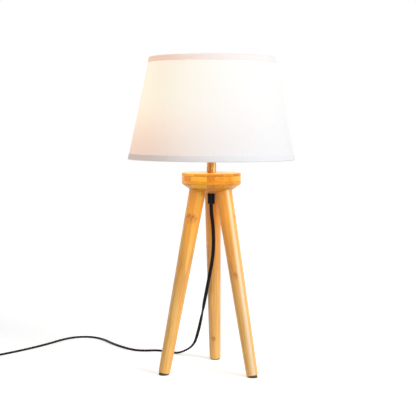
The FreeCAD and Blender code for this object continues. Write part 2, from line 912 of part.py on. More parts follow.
def make_bulb():
    """A globe bulb with an E14 cap: contact tip, glass, screw cap, housing, board and diffuser."""
    foot = tip_level + mm.bulb_tip_height
    cap_foot = foot + mm.bulb_glass_height
    cap_top = cap_foot + mm.bulb_cap_length
    tip = turned(
        "bulb_tip_contact",
        [
            (0, 0),
            (mm.bulb_tip_radius, mm.bulb_tip_edge, mm.bulb_tip_round),
            (mm.bulb_tip_radius, mm.bulb_tip_height),
            (0, mm.bulb_tip_height),
        ],
    )
    place(node(tip), z=tip_level)

    glass = turned(
        "bulb_base_insulator",
        [
            (0, 0),
            (mm.bulb_glass_foot, 0),
            (mm.bulb_thread_radius - mm.bulb_cap_wall, mm.bulb_glass_height),
            (0, mm.bulb_glass_height),
        ],
    )
    place(node(glass), z=foot)

    inside = mm.bulb_thread_radius - mm.bulb_cap_wall
    cap = turned("bulb_screw_cap", ring_outline(inside, mm.bulb_thread_radius, mm.bulb_cap_length))
    place(node(cap), z=cap_foot + mm.fit)

    shoulder = mm.bulb_cap_length + mm.bulb_neck_height
    rim = mm.bulb_cap_length + mm.bulb_shoulder
    globe_cut = root(mm.bulb_radius * mm.bulb_radius - mm.bulb_globe_cut * mm.bulb_globe_cut)
    rim_radius = globe_cut + mm.housing_rim / 2
    board_level = rim - mm.board_recess
    board_radius = rim_radius - mm.housing_rim - mm.board_step
    housing = turned(
        "bulb_housing",
        [
            (0, mm.fit * 2),
            (inside - mm.fit, mm.fit * 2),
            (inside - mm.fit, mm.bulb_cap_length + mm.fit),
            (mm.bulb_neck_radius, mm.bulb_cap_length + mm.fit * 2),
            (mm.bulb_neck_radius, shoulder),
            (rim_radius, rim),
            (rim_radius - mm.housing_rim, rim),
            (board_radius, board_level),
            (0, board_level),
        ],
    )
    place(node(housing), z=cap_foot)

    board = cylinder("bulb_led_board", board_radius - mm.board_play, mm.board_thickness)
    place(node(board), z=cap_foot + board_level)

    thick = mm.globe_wall
    inner = mm.bulb_radius - thick
    inner_cut = root(inner * inner - mm.bulb_globe_cut * mm.bulb_globe_cut)
    top = mm.bulb_globe_cut + mm.bulb_radius
    globe = turned(
        "bulb_globe",
        [
            (globe_cut, 0),
            (mm.bulb_radius, mm.bulb_globe_cut, mm.bulb_radius),
            (0, top, mm.bulb_radius),
            (0, top - thick),
            (inner, mm.bulb_globe_cut, -inner),
            (inner_cut, 0, -inner),
        ],
    )
    place(node(globe), z=cap_foot + rim + mm.fit)


# --------------------------------------------------------------------------------- tubes and the cord


def bent_path(points, radius=None):
    """Straight runs joined by tangent arcs. Without a radius each arc is as large as its runs allow."""
    edges, radii = [], []
    at = points[0]
    for before, corner, after in zip(points, points[1:], points[2:]):
        back, ahead = before - corner, after - corner
        half_turn = (math.pi - back.getAngle(ahead)) / 2
        bend = radius or 0.45 * min(back.Length, ahead.Length) / math.tan(half_turn)
        setback = bend * math.tan(half_turn)
        back.normalize()
        ahead.normalize()
        first, last = corner + back * setback, corner + ahead * setback
        inwards = (back + ahead).normalize()
        middle = corner + inwards * (bend / math.cos(half_turn) - bend)
        edges.append(Part.LineSegment(at, first).toShape())
        edges.append(Part.Arc(first, middle, last).toShape())
        radii.append(round(bend, 1))
        at = last
    edges.append(Part.LineSegment(at, points[-1]).toShape())
    if radius is None:
        print("cord radii", radii)
    return Part.Wire(edges)


def tube_along(path, radius):
    """A round tube swept along the path, checked against its section times its length."""
    first = path.OrderedEdges[0]
    direction = first.tangentAt(first.FirstParameter)
    ring = Part.Wire(Part.Circle(first.valueAt(first.FirstParameter), direction, radius).toShape())
    tube = path.makePipeShell([ring], True, False)
    expected = math.pi * radius * radius * path.Length
    if abs(tube.Volume / expected - 1) > 0.01:
        raise RuntimeError(f"a tube has volume {tube.Volume:.1f} and not {expected:.1f}")
    return tube


def cord_tube(label, points):
    """One free stretch of the cord. It keeps a hair off what it meets, face to face."""
    tube = doc.addObject("Part::Feature", label)
    path = bent_path([Vector(*p) for p in points])
    tube.Shape = tube_along(path, mm.flex_radius.value)
    print(label, "length", round(path.Length, 1))
    node(tube)


floor_lay = mm.flex_radius.value  # height of the cord's middle where it lies on the floor

# From the gland the cord hangs, swings back between the legs and lands behind the left one.
HANGING = [
    (0.0, 0.0, gland_level.value),
    (0.0, 0.0, 221.0),
    (3.2, 2.4, 205.0),
    (3.3, 7.6, 181.0),
    (1.2, 17.3, 157.5),
    (-5.8, 28.0, 122.6),
    (-13.3, 43.4, 89.5),
    (-19.7, 64.1, 62.5),
    (-26.3, 81.1, 37.2),
    (-33.8, 89.2, 14.1),
    (-54.5, 90.1, 1.4 + floor_lay),
]
# On the floor it wanders to the left, and turns to the front where it leaves the picture.
LYING = [
    (-69.6, 99.2, floor_lay),
    (-89.2, 113.5, floor_lay),
    (-118.0, 104.0, floor_lay),
    (-142.0, 121.0, floor_lay),
    (-168.0, 151.0, floor_lay),
    (-190.0, 184.0, floor_lay),
    (-211.0, 199.0, floor_lay),
    (-234.0, 196.0, floor_lay),
    (-252.0, 175.0, floor_lay),
    (-268.0, 134.0, floor_lay),
    (-297.0, 83.0, floor_lay),
    (-322.0, 48.0, floor_lay),
]

# The switch lies past the picture's left edge, and the rest of the cord is coiled in front of it.
SWITCH_PLACE = Vector(-mm.switch_left.value, -mm.switch_front.value, 0.0)
SWITCH_TURN = -102.0  # degrees: from the lamp's side of the cord to the plug's
COIL_PLACE = Vector(-mm.coil_left.value, -mm.coil_front.value, 0.0)
LEAD = 11.0  # length of the straight runs beside the switch, the coil and the plug
RAMP = 31.0  # distance from the switch at which the cord lies on the floor
COIL_START = 172.0  # degrees from +X, where the lower layer begins


def switch_end(side):
    """The middle of the cord's entry at the lamp's side (-1) or the plug's side (1) of the switch."""
    reach = Vector(side * mm.switch_length.value / 2, 0, mm.base_height.value)
    return SWITCH_PLACE + Rotation(Vector(0, 0, 1), SWITCH_TURN).multVec(reach)


def switch_lead(side, away, height):
    """A point straight out from one end of the switch, at a height of its own."""
    reach = Vector(side * (mm.switch_length.value / 2 + away), 0, height)
    return SWITCH_PLACE + Rotation(Vector(0, 0, 1), SWITCH_TURN).multVec(reach)


def biarc(start, start_way, end, end_way):
    """Two arcs that leave the start and reach the end along the given unit directions."""
    chord = end - start
    ways = start_way + end_way
    spare = 2 * (1 - start_way.dot(end_way))
    along = chord.dot(ways)
    reach = (math.sqrt(along * along + spare * chord.dot(chord)) - along) / spare
    joint = (start + end + (start_way - end_way) * reach) * 0.5
    arcs = []
    for a, b, corner in ((start, joint, start + start_way * reach), (joint, end, end - end_way * reach)):
        middle = (a + b) * 0.5
        outwards = corner - middle
        half_angle = math.atan2(outwards.Length, (b - a).Length / 2)
        sagitta = (b - a).Length / 2 * math.tan(half_angle / 2)
        arcs.append(Part.Arc(a, middle + outwards.normalize() * sagitta, b).toShape())
    return arcs


def coil_points(turns, lift):
    """Place and direction at each quarter turn of a coil in two layers: the lower one spirals in, the
    next half turn climbs, and the upper one spirals out again."""
    pitch = mm.coil_pitch.value
    quarters_in = round(turns * 4)
    climb = 2
    rise = mm.plug_thickness.value / 2 - lift  # the upper layer ends level with the plug's tail
    outer = mm.coil_radius.value + pitch * turns / 2
    inner = mm.coil_radius.value - pitch * turns / 2

    def spot(quarter):
        if quarter <= quarters_in:
            radius, height = outer - pitch * quarter / 4, 0.0
        elif quarter >= quarters_in + climb:
            radius, height = inner + pitch * (quarter - quarters_in - climb) / 4, rise
        else:
            share = (quarter - quarters_in) / climb
            radius, height = inner, rise * share * share * (3 - 2 * share)
        angle = math.radians(COIL_START + 90 * quarter)
        return COIL_PLACE + Vector(radius * math.cos(angle), radius * math.sin(angle), lift + height)

    step = 1e-4
    last = 2 * quarters_in + climb
    found = []
    for quarter in range(last + 1):
        before, after = max(quarter - step, 0), min(quarter + step, last)
        found.append((spot(quarter), (spot(after) - spot(before)).normalize()))
    return found


def least_gap(path, radius):
    """The least gap of a wound tube to itself, between points that lie far apart along it."""
    points = path.discretize(Distance=2.0)
    apart = math.ceil(6 * radius / 2.0)
    least = min(
        (p - q).Length
        for i, p in enumerate(points)
        for q in points[i + apart :]
    )
    return least - 2 * radius


def coil_parts():
    lift = floor_lay
    found = coil_points(mm.coil_turns.value, lift)
    end = mm.flex_radius.value * 2
    edges = []
    first, first_way = found[0]
    last, last_way = found[-1]
    edges.append(Part.LineSegment(first - first_way * end, first).toShape())
    for (a, way_a), (b, way_b) in zip(found, found[1:]):
        edges += biarc(a, way_a, b, way_b)
    edges.append(Part.LineSegment(last, last + last_way * end).toShape())
    return Part.Wire(edges), (first - first_way * end, first_way), (last + last_way * end, last_way)


def make_cord():
    ends = [switch_lead(-1, RAMP, floor_lay), switch_lead(-1, LEAD, mm.base_height.value)]
    cord_tube("cord_lamp_to_switch", HANGING + LYING + ends + [switch_end(-1)])

    path, (coil_in, in_way), (coil_out, out_way) = coil_parts()
    coil = doc.addObject("Part::Feature", "cord_coil")
    coil.Shape = tube_along(path, mm.flex_radius.value)
    node(coil)
    gap = least_gap(path, mm.flex_radius.value)
    print("cord_coil length", round(path.Length, 1), "least gap to itself", round(gap, 2))

    ends = [switch_lead(1, LEAD, mm.base_height.value), switch_lead(1, RAMP, floor_lay)]
    cord_tube("cord_switch_to_coil", [switch_end(1)] + ends + [coil_in - in_way * LEAD, coil_in])
    cord_tube("cord_coil_to_plug", [coil_out, coil_out + out_way * LEAD * 1.5, plug_tail_end()])


def make_stem_cable():
    """The flex through the gland and the tube, and its two cores up to the terminals."""
    top = tube_level + tube_length - mm.sheath_end
    cable = cylinder("stem_cable", mm.flex_radius, top - gland_level, z=gland_level)
    node(cable)
    cores = []
    apart = mm.core_apart.value
    under_screw = (core_level - mm.terminal_head - mm.core_radius - mm.core_gap).value
    for side in (-1, 1):
        start = Vector(side * apart, 0, top.value)
        elbow = Vector(side * apart, 0, under_screw)
        end = Vector(side * mm.terminal_offset.value, 0, under_screw)
        core = doc.addObject("Part::Feature", f"core_{'left' if side < 0 else 'right'}")
        core.Shape = tube_along(bent_path([start, elbow, end], mm.core_bend.value), mm.core_radius.value)
        cores.append(core)
    node(compound("core_wires", *cores))


# ---------------------------------------------------------------------------------- in-line switch

switch_frame = Placement(SWITCH_PLACE, Rotation(Vector(0, 0, 1), SWITCH_TURN))


def in_switch(thing, x=0, y=0, z=0, turn=None):
    """Place a piece of the switch by its position in the switch's own frame."""
    local = Placement(Vector(size(x).value, size(y).value, size(z).value), turn or Rotation())
    thing.Placement = switch_frame * local
    return thing


def switch_outline():
    end, side = mm.switch_length / 2, mm.switch_width / 2
    straight, tip = mm.switch_straight / 2, mm.switch_end_width / 2
    return [
        (end, -tip),
        (end, tip),
        (straight, side),
        (-straight, side),
        (-end, tip),
        (-end, -tip),
        (-straight, -side),
        (straight, -side),
    ]


def is_upright(edge):
    curve = edge.Curve
    return isinstance(curve, Part.Line) and abs(curve.Direction.z) > 0.99


def is_outer_top(height):
    """A test for the outline's edges at this height."""

    def found(edge):
        span = edge.BoundBox
        return abs(span.ZMin - height.value) < 1e-3 and abs(span.ZMax - height.value) < 1e-3

    return found


def switch_screw_holes(prefix, radius, bottom, height):
    holes = []
    for i, side in enumerate((-1, 1)):
        hole = cylinder(f"{prefix}_{i}", radius, height)
        in_switch(hole, x=mm.switch_screw_offset * side, z=bottom)
        holes.append(hole)
    return holes


def make_switch():
    """Base and cover screwed together, with the rocker between two cheeks of the cover."""
    wall = mm.housing_wall
    room = [mm.switch_room_length, mm.switch_width - wall * 2]
    base = raised("switch_base_blank", "XY_Plane", switch_outline(), mm.base_height)
    soften(base, mm.switch_corner, is_upright)
    soften(base, mm.base_edge, is_outer_top(size(0)))
    floor_cut = box("switch_room", room[0], room[1], mm.base_height)
    in_switch(floor_cut, x=-room[0] / 2, y=-room[1] / 2, z=wall)
    shank = mm.switch_screw_radius + mm.fit
    sunk = mm.switch_screw_head + mm.fit
    base_cuts = [floor_cut]
    start = -mm.overshoot
    base_cuts += switch_screw_holes("base_hole", shank, start, mm.base_height + mm.overshoot * 2)
    base_cuts += switch_screw_holes("base_sink", sunk, start, mm.switch_screw_sunk + mm.overshoot)
    in_switch(base)
    node(cut("switch_base", base, *base_cuts))

    cover = raised("switch_cover_blank", "XY_Plane", switch_outline(), mm.cover_height)
    soften(cover, mm.switch_corner, is_upright)
    soften(cover, mm.cover_round, is_outer_top(mm.cover_height))
    roof = mm.cover_height - wall
    room_cut = box("cover_room", room[0], room[1], roof + mm.overshoot)
    in_switch(room_cut, x=-room[0] / 2, y=-room[1] / 2, z=mm.base_height - mm.overshoot)
    window_length = mm.rocker_length + mm.window_play * 2
    window_width = mm.rocker_width + mm.window_side_play * 2
    window = box("cover_window", window_length, window_width, mm.cover_height * 2)
    in_switch(window, x=-window_length / 2, y=-window_width / 2, z=mm.base_height)
    in_switch(cover, z=mm.base_height)
    depth = mm.switch_screw_length + mm.switch_screw_sunk + mm.overshoot
    cover_holes = switch_screw_holes("cover_hole", shank, size(0), depth)
    hollow = cut("cover_hollow", cover, room_cut, window, *cover_holes)

    pivot_level = mm.base_height + mm.pivot_height
    cheek_foot = pivot_level - mm.cheek_below
    cheek_height = mm.base_height + roof - cheek_foot
    cheek_start = window_width / 2
    cheeks = []
    for i, side in enumerate((-1, 1)):
        cheek = box(f"cheek_{i}", mm.cheek_half * 2, mm.cheek_thickness, cheek_height + wall / 2)
        start = cheek_start if side > 0 else -cheek_start - mm.cheek_thickness
        in_switch(cheek, x=-mm.cheek_half, y=start, z=cheek_foot)
        cheeks.append(cheek)
    with_cheeks = fused("cover_with_cheeks", hollow, *cheeks)
    bore_length = (cheek_start + mm.cheek_thickness + mm.overshoot) * 2
    bore = cylinder("pivot_bore", mm.pivot_radius + mm.fit, bore_length)
    in_switch(bore, y=-bore_length / 2, z=pivot_level, turn=Rotation(Vector(1, 0, 0), -90))
    node(cut("switch_cover", with_cheeks, bore))

    make_rocker(pivot_level)
    make_switch_fasteners()


def make_rocker(pivot_level):
    half = mm.rocker_length / 2
    blade = raised(
        "rocker_blade",
        "XZ_Plane",
        [
            (-half, mm.rocker_shoulder),
            (-mm.rocker_belly_half, -mm.rocker_belly),
            (mm.rocker_belly_half, -mm.rocker_belly),
            (half, mm.rocker_shoulder),
            (half, mm.rocker_end_height),
            (0, mm.rocker_middle_height, -mm.rocker_hollow),
            (-half, mm.rocker_end_height, -mm.rocker_hollow),
        ],
        mm.rocker_width,
        midplane=True,
    )
    tilt = Rotation(Vector(0, 1, 0), -mm.rocker_swing.value)
    in_switch(blade, z=pivot_level, turn=tilt)
    length = mm.rocker_width + mm.pivot_length * 2
    pins = cylinder("rocker_pins", mm.pivot_radius, length)
    in_switch(pins, y=-length / 2, z=pivot_level, turn=Rotation(Vector(1, 0, 0), -90))
    node(fused("switch_rocker", blade, pins))


def make_switch_fasteners():
    screws = []
    level = mm.switch_screw_sunk
    for i, side in enumerate((-1, 1)):
        x = mm.switch_screw_offset * side
        head_height = mm.switch_screw_sunk - play
        head = cylinder(f"switch_screw_head_{i}", mm.switch_screw_head, head_height)
        in_switch(head, x=x, z=play)
        shank = cylinder(f"switch_screw_shank_{i}", mm.switch_screw_radius, mm.switch_screw_length)
        in_switch(shank, x=x, z=level)
        screws.append(fused(f"switch_screw_{i}", head, shank))
    node(compound("switch_screws", *screws))
    terminals = []
    for i, side in enumerate((-1, 1)):
        length, width = mm.terminal_block, mm.terminal_block_width
        block = box(f"switch_terminal_{i}", length, width, mm.terminal_block_height)
        middle = mm.terminal_block_offset * side
        in_switch(block, x=middle - length / 2, y=-width / 2, z=mm.housing_wall)
        terminals.append(block)
    node(compound("switch_terminals", *terminals))


# ----------------------------------------------------------------------------------------------- plug

PLUG_TURN = -110.0  # degrees from +X to the way that the pins point


def plug_way():
    """The direction in which the cord runs into the plug."""
    return Rotation(Vector(0, 0, 1), PLUG_TURN).multVec(Vector(1, 0, 0))


def plug_tail_end():
    """Where the cord meets the plug's tail, past one bend beyond the coil's end."""
    _, _, (coil_out, out_way) = coil_parts()
    end = coil_out + (out_way + plug_way()) * LEAD * 1.5
    return Vector(end.x, end.y, mm.plug_thickness.value / 2)


plug_face = plug_tail_end() + plug_way() * (mm.plug_length.value + mm.tail_length.value)
plug_frame = Placement(plug_face, Rotation(Vector(0, 0, 1), PLUG_TURN))


def make_plug():
    """A flat two-pin plug: moulded body with a grooved tail, and two pins with insulating sleeves."""
    face, waist = mm.plug_width / 2, mm.plug_waist / 2
    body = raised(
        "plug_blank",
        "XY_Plane",
        [
            (0, -face),
            (0, face),
            (-mm.plug_face_depth, face),
            (-mm.plug_length, waist),
            (-mm.plug_length, -waist),
            (-mm.plug_face_depth, -face),
        ],
        mm.plug_thickness,
        midplane=True,
    )

    def is_side(edge):
        return abs(edge.CenterOfMass.x) > 0.1

    soften(body, mm.plug_edge, is_side)
    placed(body, plug_frame)

    step = mm.tail_length / (mm.tail_grooves * 2 + 1)
    narrow = (mm.tail_radius - mm.tail_end_radius) / mm.tail_length
    corners = [(0, 0), (mm.tail_radius, 0)]
    for i in range(round(mm.tail_grooves.value)):
        low, high = step * (2 * i + 1), step * (2 * i + 2)
        corners += [
            (mm.tail_radius - narrow * low, low),
            (mm.tail_radius - narrow * low - mm.tail_groove, low),
            (mm.tail_radius - narrow * high - mm.tail_groove, high),
            (mm.tail_radius - narrow * high, high),
        ]
    corners += [(mm.tail_end_radius, mm.tail_length), (0, mm.tail_length)]
    tail = turned("plug_tail", corners)
    backwards = Rotation(Vector(0, 1, 0), -90)
    root_level = mm.plug_length.value
    placed(tail, plug_frame * Placement(Vector(-root_level, 0, 0), backwards))

    lean = math.degrees(math.atan2((mm.pin_spacing - mm.pin_tip_spacing).value / 2, mm.pin_length.value))
    pins, sleeves, holes = [], [], []
    sleeve_end = mm.pin_length - mm.pin_bare
    for i, side in enumerate((-1, 1)):
        forwards = Rotation(Vector(0, 0, 1), -side * lean) * Rotation(Vector(0, 1, 0), 90)
        frame = plug_frame * Placement(Vector(0, side * mm.pin_spacing.value / 2, 0), forwards)
        pin = turned(
            f"pin_{i}",
            [
                (0, -mm.pin_root),
                (mm.pin_core, -mm.pin_root),
                (mm.pin_core, sleeve_end),
                (mm.pin_radius, sleeve_end),
                (mm.pin_radius, mm.pin_length),
                (0, mm.pin_length),
            ],
        )
        soften(pin, mm.pin_tip_edge, is_ring(mm.pin_radius, mm.pin_length))
        pins.append(placed(pin, frame))
        start = mm.fit * 2
        sleeve = turned(
            f"pin_sleeve_{i}",
            [
                (mm.pin_core + mm.fit, start),
                (mm.pin_sleeve_radius, start),
                (mm.pin_sleeve_radius, sleeve_end - mm.fit),
                (mm.pin_core + mm.fit, sleeve_end - mm.fit),
            ],
        )
        sleeves.append(placed(sleeve, frame))
        hole = cylinder(f"pin_hole_{i}", mm.pin_core + mm.fit, mm.pin_root + mm.fit + mm.overshoot)
        hole.Placement = frame * Placement(Vector(0, 0, -mm.pin_root.value - mm.fit.value), Rotation())
        holes.append(hole)
    node(cut("plug_body", fused("plug_moulding", body, tail), *holes))
    node(compound("plug_pins", *pins))
    node(compound("plug_pin_sleeves", *sleeves))


# ------------------------------------------------------------------------------------ build and write

ARM_TURNS = [mm.first_leg_turn.value + 60 + 120 * i for i in range(3)]


def check(thing):
    if any(flag in thing.State for flag in ("Invalid", "Error")):
        raise RuntimeError(f"{thing.Label} is {thing.State}")


def main():
    make_head()
    make_legs()
    make_foot_pads()
    make_leg_bolts()
    make_stem()
    make_gland()
    make_holder()
    make_shade_skin()
    make_hems(ARM_TURNS)
    make_spider(ARM_TURNS)
    make_shade_ring()
    make_bulb()
    make_switch()
    make_plug()
    make_stem_cable()
    make_cord()
    doc.recompute()
    for thing in doc.Objects:
        check(thing)
    for piece in nodes:
        if piece.Shape.isNull() or not piece.Shape.isValid():
            raise RuntimeError(f"{piece.Label} has no valid shape")
    os.makedirs("parts", exist_ok=True)
    for piece in nodes:
        piece.Shape.exportStep(f"parts/{piece.Label}.step")
    print(len(nodes), "nodes written")


main()
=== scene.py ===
import math

import bmesh
import bpy
from bpy.props import FloatProperty, FloatVectorProperty, IntProperty, PointerProperty
from mathutils import Matrix, Vector


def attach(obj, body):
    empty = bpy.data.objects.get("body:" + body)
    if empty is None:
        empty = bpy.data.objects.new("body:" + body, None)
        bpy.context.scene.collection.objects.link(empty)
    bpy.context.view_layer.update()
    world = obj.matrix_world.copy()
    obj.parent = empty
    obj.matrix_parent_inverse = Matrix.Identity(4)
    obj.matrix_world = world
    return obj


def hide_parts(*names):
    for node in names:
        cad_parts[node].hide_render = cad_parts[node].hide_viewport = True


bl_info = {
    "name": "Tripod Table Lamp",
    "version": (1, 0, 0),
    "blender": (4, 5, 0),
    "location": "View3D > Sidebar > Lamp",
    "description": "Bamboo stand, brass stem, fabric shade, bulb and flat flex of a tripod table lamp",
    "category": "Object",
}

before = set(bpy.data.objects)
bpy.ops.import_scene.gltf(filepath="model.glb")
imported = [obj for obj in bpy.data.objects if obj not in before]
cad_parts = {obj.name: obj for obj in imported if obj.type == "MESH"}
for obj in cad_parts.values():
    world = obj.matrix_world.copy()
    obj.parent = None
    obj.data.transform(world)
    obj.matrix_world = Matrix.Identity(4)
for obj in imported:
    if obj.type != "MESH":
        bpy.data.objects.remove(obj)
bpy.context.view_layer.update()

# ---- sizes


def display(red, green, blue):
    """A colour as a screen shows it, from 0 to 255, as the linear colour that a shader takes."""
    shares = [value / 255 for value in (red, green, blue)]
    return tuple(s / 12.92 if s <= 0.04045 else ((s + 0.055) / 1.055) ** 2.4 for s in shares)


def colour_property(name, description, *colour):
    default = display(*colour)
    return FloatVectorProperty(
        name=name, description=description, default=default, size=3, min=0.0, max=1.0, subtype="COLOR"
    )


def length_property(name, description, default):
    return FloatProperty(name=name, description=description, default=default, min=0.0, unit="LENGTH")


def angle_property(name, description, degrees):
    return FloatProperty(name=name, description=description, default=math.radians(degrees), subtype="ANGLE")


def level_property(name, description, default):
    return FloatProperty(name=name, description=description, default=default, min=0.0)


SEAM = -79.3  # where the cloth's ends are glued, in degrees about Z
CLOTH = 0.0008  # thickness of the cloth and its backing


class LampBamboo(bpy.types.PropertyGroup):
    light: colour_property("Light Fibre", "Palest colour of the bamboo", 253, 216, 132)
    middle: colour_property("Fibre", "Main colour of the bamboo", 246, 186, 94)
    dark: colour_property("Dark Fibre", "Colour of the dark bundles in the bamboo", 212, 138, 56)
    knot: colour_property("Knot", "Colour of the bamboo's knots", 184, 98, 34)
    layer: length_property("Layer", "Thickness of one glued layer in a leg", 0.0056)
    gloss: FloatProperty(
        name="Lacquer", description="Strength of the lacquer's gloss",
        default=0.8, min=0.0, max=1.0, subtype="FACTOR",
    )


class LampShade(bpy.types.PropertyGroup):
    bottom_radius: length_property("Bottom Radius", "Outside of the cloth at its lower edge", 0.11435)
    top_radius: length_property("Top Radius", "Outside of the cloth at its upper edge", 0.0858)
    foot: length_property("Foot", "Height of the cloth's lower edge above the floor", 0.2952)
    height: length_property("Height", "From the cloth's lower edge to its upper edge", 0.1366)
    thickness: length_property("Thickness", "Cloth and its stiff backing together", CLOTH)
    seam_turn: angle_property("Seam", "Where the cloth's ends are glued", SEAM)
    seam_lift: length_property("Seam Lift", "How far the upper end stands proud", 0.00004)
    sides: IntProperty(name="Sides", description="Faces round the cloth", default=360, min=12)
    rows: IntProperty(name="Rows", description="Faces up the cloth", default=24, min=2)
    cloth: colour_property("Cloth", "Colour of the shade's cloth", 245, 247, 250)
    glow: colour_property("Glow", "Colour of the light through the cloth, level with the bulb", 253, 230, 182)
    low_glow: colour_property("Low Glow", "Colour of the light through the cloth's foot", 255, 189, 126)
    hem_glow: colour_property("Hem Glow", "Colour of the light through the doubled hems", 255, 166, 70)
    glow_strength: level_property("Glow Strength", "Light through a single layer of cloth", 0.62)


class LampFlex(bpy.types.PropertyGroup):
    width: length_property("Width", "The flat flex from side to side", 0.005)
    thickness: length_property("Thickness", "The flat flex from face to face", 0.0028)
    colour: colour_property("Sheath", "Colour of the flex's sheath", 22, 15, 14)


class LampFinishes(bpy.types.PropertyGroup):
    brass: colour_property("Brass", "Colour of the aged brass", 246, 204, 142)
    tarnish: colour_property("Tarnish", "Colour of the brass's darker patches", 156, 106, 58)
    plastic: colour_property("Black Plastic", "Colour of the holder, the gland and the switch", 24, 23, 23)
    steel: colour_property("Zinc", "Colour of the zinc-plated steel", 188, 190, 190)


class LampBulb(bpy.types.PropertyGroup):
    light: colour_property("Light", "Colour of the bulb's light", 255, 218, 156)
    strength: level_property("Strength", "Strength of the bulb's light", 34.0)
    thread_pitch: length_property("Thread Pitch", "Rise of the bulb's thread in one turn", 0.002822)


class LampStage(bpy.types.PropertyGroup):
    ambient: level_property("Ambient", "Light from the white studio", 0.41)
    key: level_property("Key", "Strength of the soft light at the right", 1.58)
    key_turn: angle_property("Key Turn", "How far the key stands to the right", 57)
    key_rise: angle_property("Key Rise", "How high the key stands", 27)
    key_spread: angle_property("Key Spread", "How large the key looks", 26)
    floor: colour_property("Floor", "Colour of the floor", 248, 249, 250)
    lens: FloatProperty(name="Lens", description="Focal length of the camera", default=89.87, unit="CAMERA")


# ---- materials


def arithmetic(operation):
    return lambda first, second=0.0: first.tree.math(operation, first, second)


class Value:
    """An output of a node. Arithmetic with values adds the nodes that work it out."""

    def __init__(self, tree, socket):
        self.tree, self.socket = tree, socket

    __add__ = arithmetic("ADD")
    __sub__ = arithmetic("SUBTRACT")
    __mul__ = arithmetic("MULTIPLY")
    __truediv__ = arithmetic("DIVIDE")
    __mod__ = arithmetic("MODULO")
    __pow__ = arithmetic("POWER")
    __abs__ = arithmetic("ABSOLUTE")


class Nodes:
    """A node tree that is built step by step. Each step returns a value for the next one."""

    def __init__(self, tree):
        self.nodes, self.links = tree.nodes, tree.links

    def connect(self, socket, value):
        if isinstance(value, Value):
            self.links.new(value.socket, socket)
        else:
            socket.default_value = value

    def node(self, kind, inputs=None, output=0, family="Shader", **settings):
        made = self.nodes.new(f"{family}Node{kind}")
        for name, value in settings.items():
            setattr(made, name, value)
        for key, value in (inputs or {}).items():
            self.connect(made.inputs[key], value)
        return Value(self, made.outputs[output])

    def math(self, operation, first, second=0.0):
        return self.node("Math", {0: first, 1: second}, operation=operation)

    def split(self, vector, axis):
        return self.node("SeparateXYZ", {"Vector": vector}, output=axis)

    def fade(self, value, low, high, to_low=0.0, to_high=1.0):
        """The value taken from one range to another, smoothly and held at the ends."""
        inputs = {"Value": value, "From Min": low, "From Max": high, "To Min": to_low, "To Max": to_high}
        return self.node("MapRange", inputs, interpolation_type="SMOOTHSTEP")

    def seen(self):
        """1 for what the camera sees, straight, in gloss or through glass, and 0 for the light elsewhere."""
        rays = ("Is Camera Ray", "Is Glossy Ray", "Is Transmission Ray")
        straight, gloss, through = (self.node("LightPath", output=ray) for ray in rays)
        return self.math("MAXIMUM", self.math("MAXIMUM", straight, gloss), through)


class Finish(Nodes):
    """A material and the steps that lead to its shader."""

    def __init__(self, name, colour, constants=None):
        self.material = bpy.data.materials.new(name)
        self.material.use_nodes = True
        super().__init__(self.material.node_tree)
        self.shader = self.nodes["Principled BSDF"]
        self.set("Base Color", (*colour, 1.0))
        for socket, value in (constants or {}).items():
            self.set(socket, value)
        self.material.diffuse_color = (*colour, 1.0)

    def set(self, socket, value):
        self.connect(self.shader.inputs[socket], value)

    def place(self):
        return self.node("TexCoord", output="Object")

    def moved(self, vector, location=(0, 0, 0), turn=(0, 0, 0), scale=(1, 1, 1)):
        """The vector as seen from a frame with this place, turn and scale."""
        inputs = {"Vector": vector, "Location": location, "Rotation": turn, "Scale": scale}
        return self.node("Mapping", inputs, vector_type="TEXTURE")

    def stretched(self, vector, x, y, z):
        return self.node("VectorMath", {0: vector, 1: (x, y, z)}, operation="MULTIPLY")

    def dot(self, first, second):
        inputs = {0: first, 1: second}
        return self.node("VectorMath", inputs, output="Value", operation="DOT_PRODUCT")

    def noise(self, vector, scale, detail=2.0, roughness=0.5):
        inputs = {"Vector": vector, "Scale": scale, "Detail": detail, "Roughness": roughness}
        return self.node("TexNoise", inputs)

    def mix(self, factor, first, second, blend="MIX"):
        first, second = (c if isinstance(c, Value) else (*c, 1.0) for c in (first, second))
        inputs = {0: factor, 6: first, 7: second}
        return self.node("Mix", inputs, output=2, data_type="RGBA", blend_type=blend)

    def ramp(self, factor, stops, constant=False):
        made = self.nodes.new("ShaderNodeValToRGB")
        made.color_ramp.interpolation = "CONSTANT" if constant else "LINEAR"
        elements = made.color_ramp.elements
        while len(elements) < len(stops):
            elements.new(0.5)
        for element, (position, colour) in zip(elements, stops):
            element.position = position
            shade = (colour,) * 3 if isinstance(colour, float) else colour
            element.color = (*shade, 1.0)
        self.connect(made.inputs["Fac"], factor)
        return Value(self, made.outputs["Color"])

    def bump(self, height, distance, strength):
        inputs = {"Height": height, "Distance": distance, "Strength": strength}
        self.set("Normal", self.node("Bump", inputs))


def wood_fibres(wood, along, tone, swing=0.22):
    """Bamboo with its fibres along the vector's Z axis. tone goes from 0, dark, to 1, light, and swing is how
    much it counts."""
    look = bpy.context.scene.lamp_bamboo
    strands = wood.noise(wood.stretched(along, 620, 620, 9), 1.0, 3.0, 0.6)
    bundles = wood.noise(wood.stretched(along, 2100, 2100, 46), 1.0, 1.0, 0.5)
    clouds = wood.noise(wood.stretched(along, 60, 60, 12), 1.0, 2.0, 0.5)
    level = strands * 0.55 + clouds * 0.45 + (tone - 0.5) * swing
    colour = wood.ramp(level, [(0.22, look.dark), (0.46, look.middle), (0.72, look.light)])
    dashes = wood.fade(bundles, 0.60, 0.78, 0.0, 0.38)
    return wood.mix(dashes, colour, look.dark), level


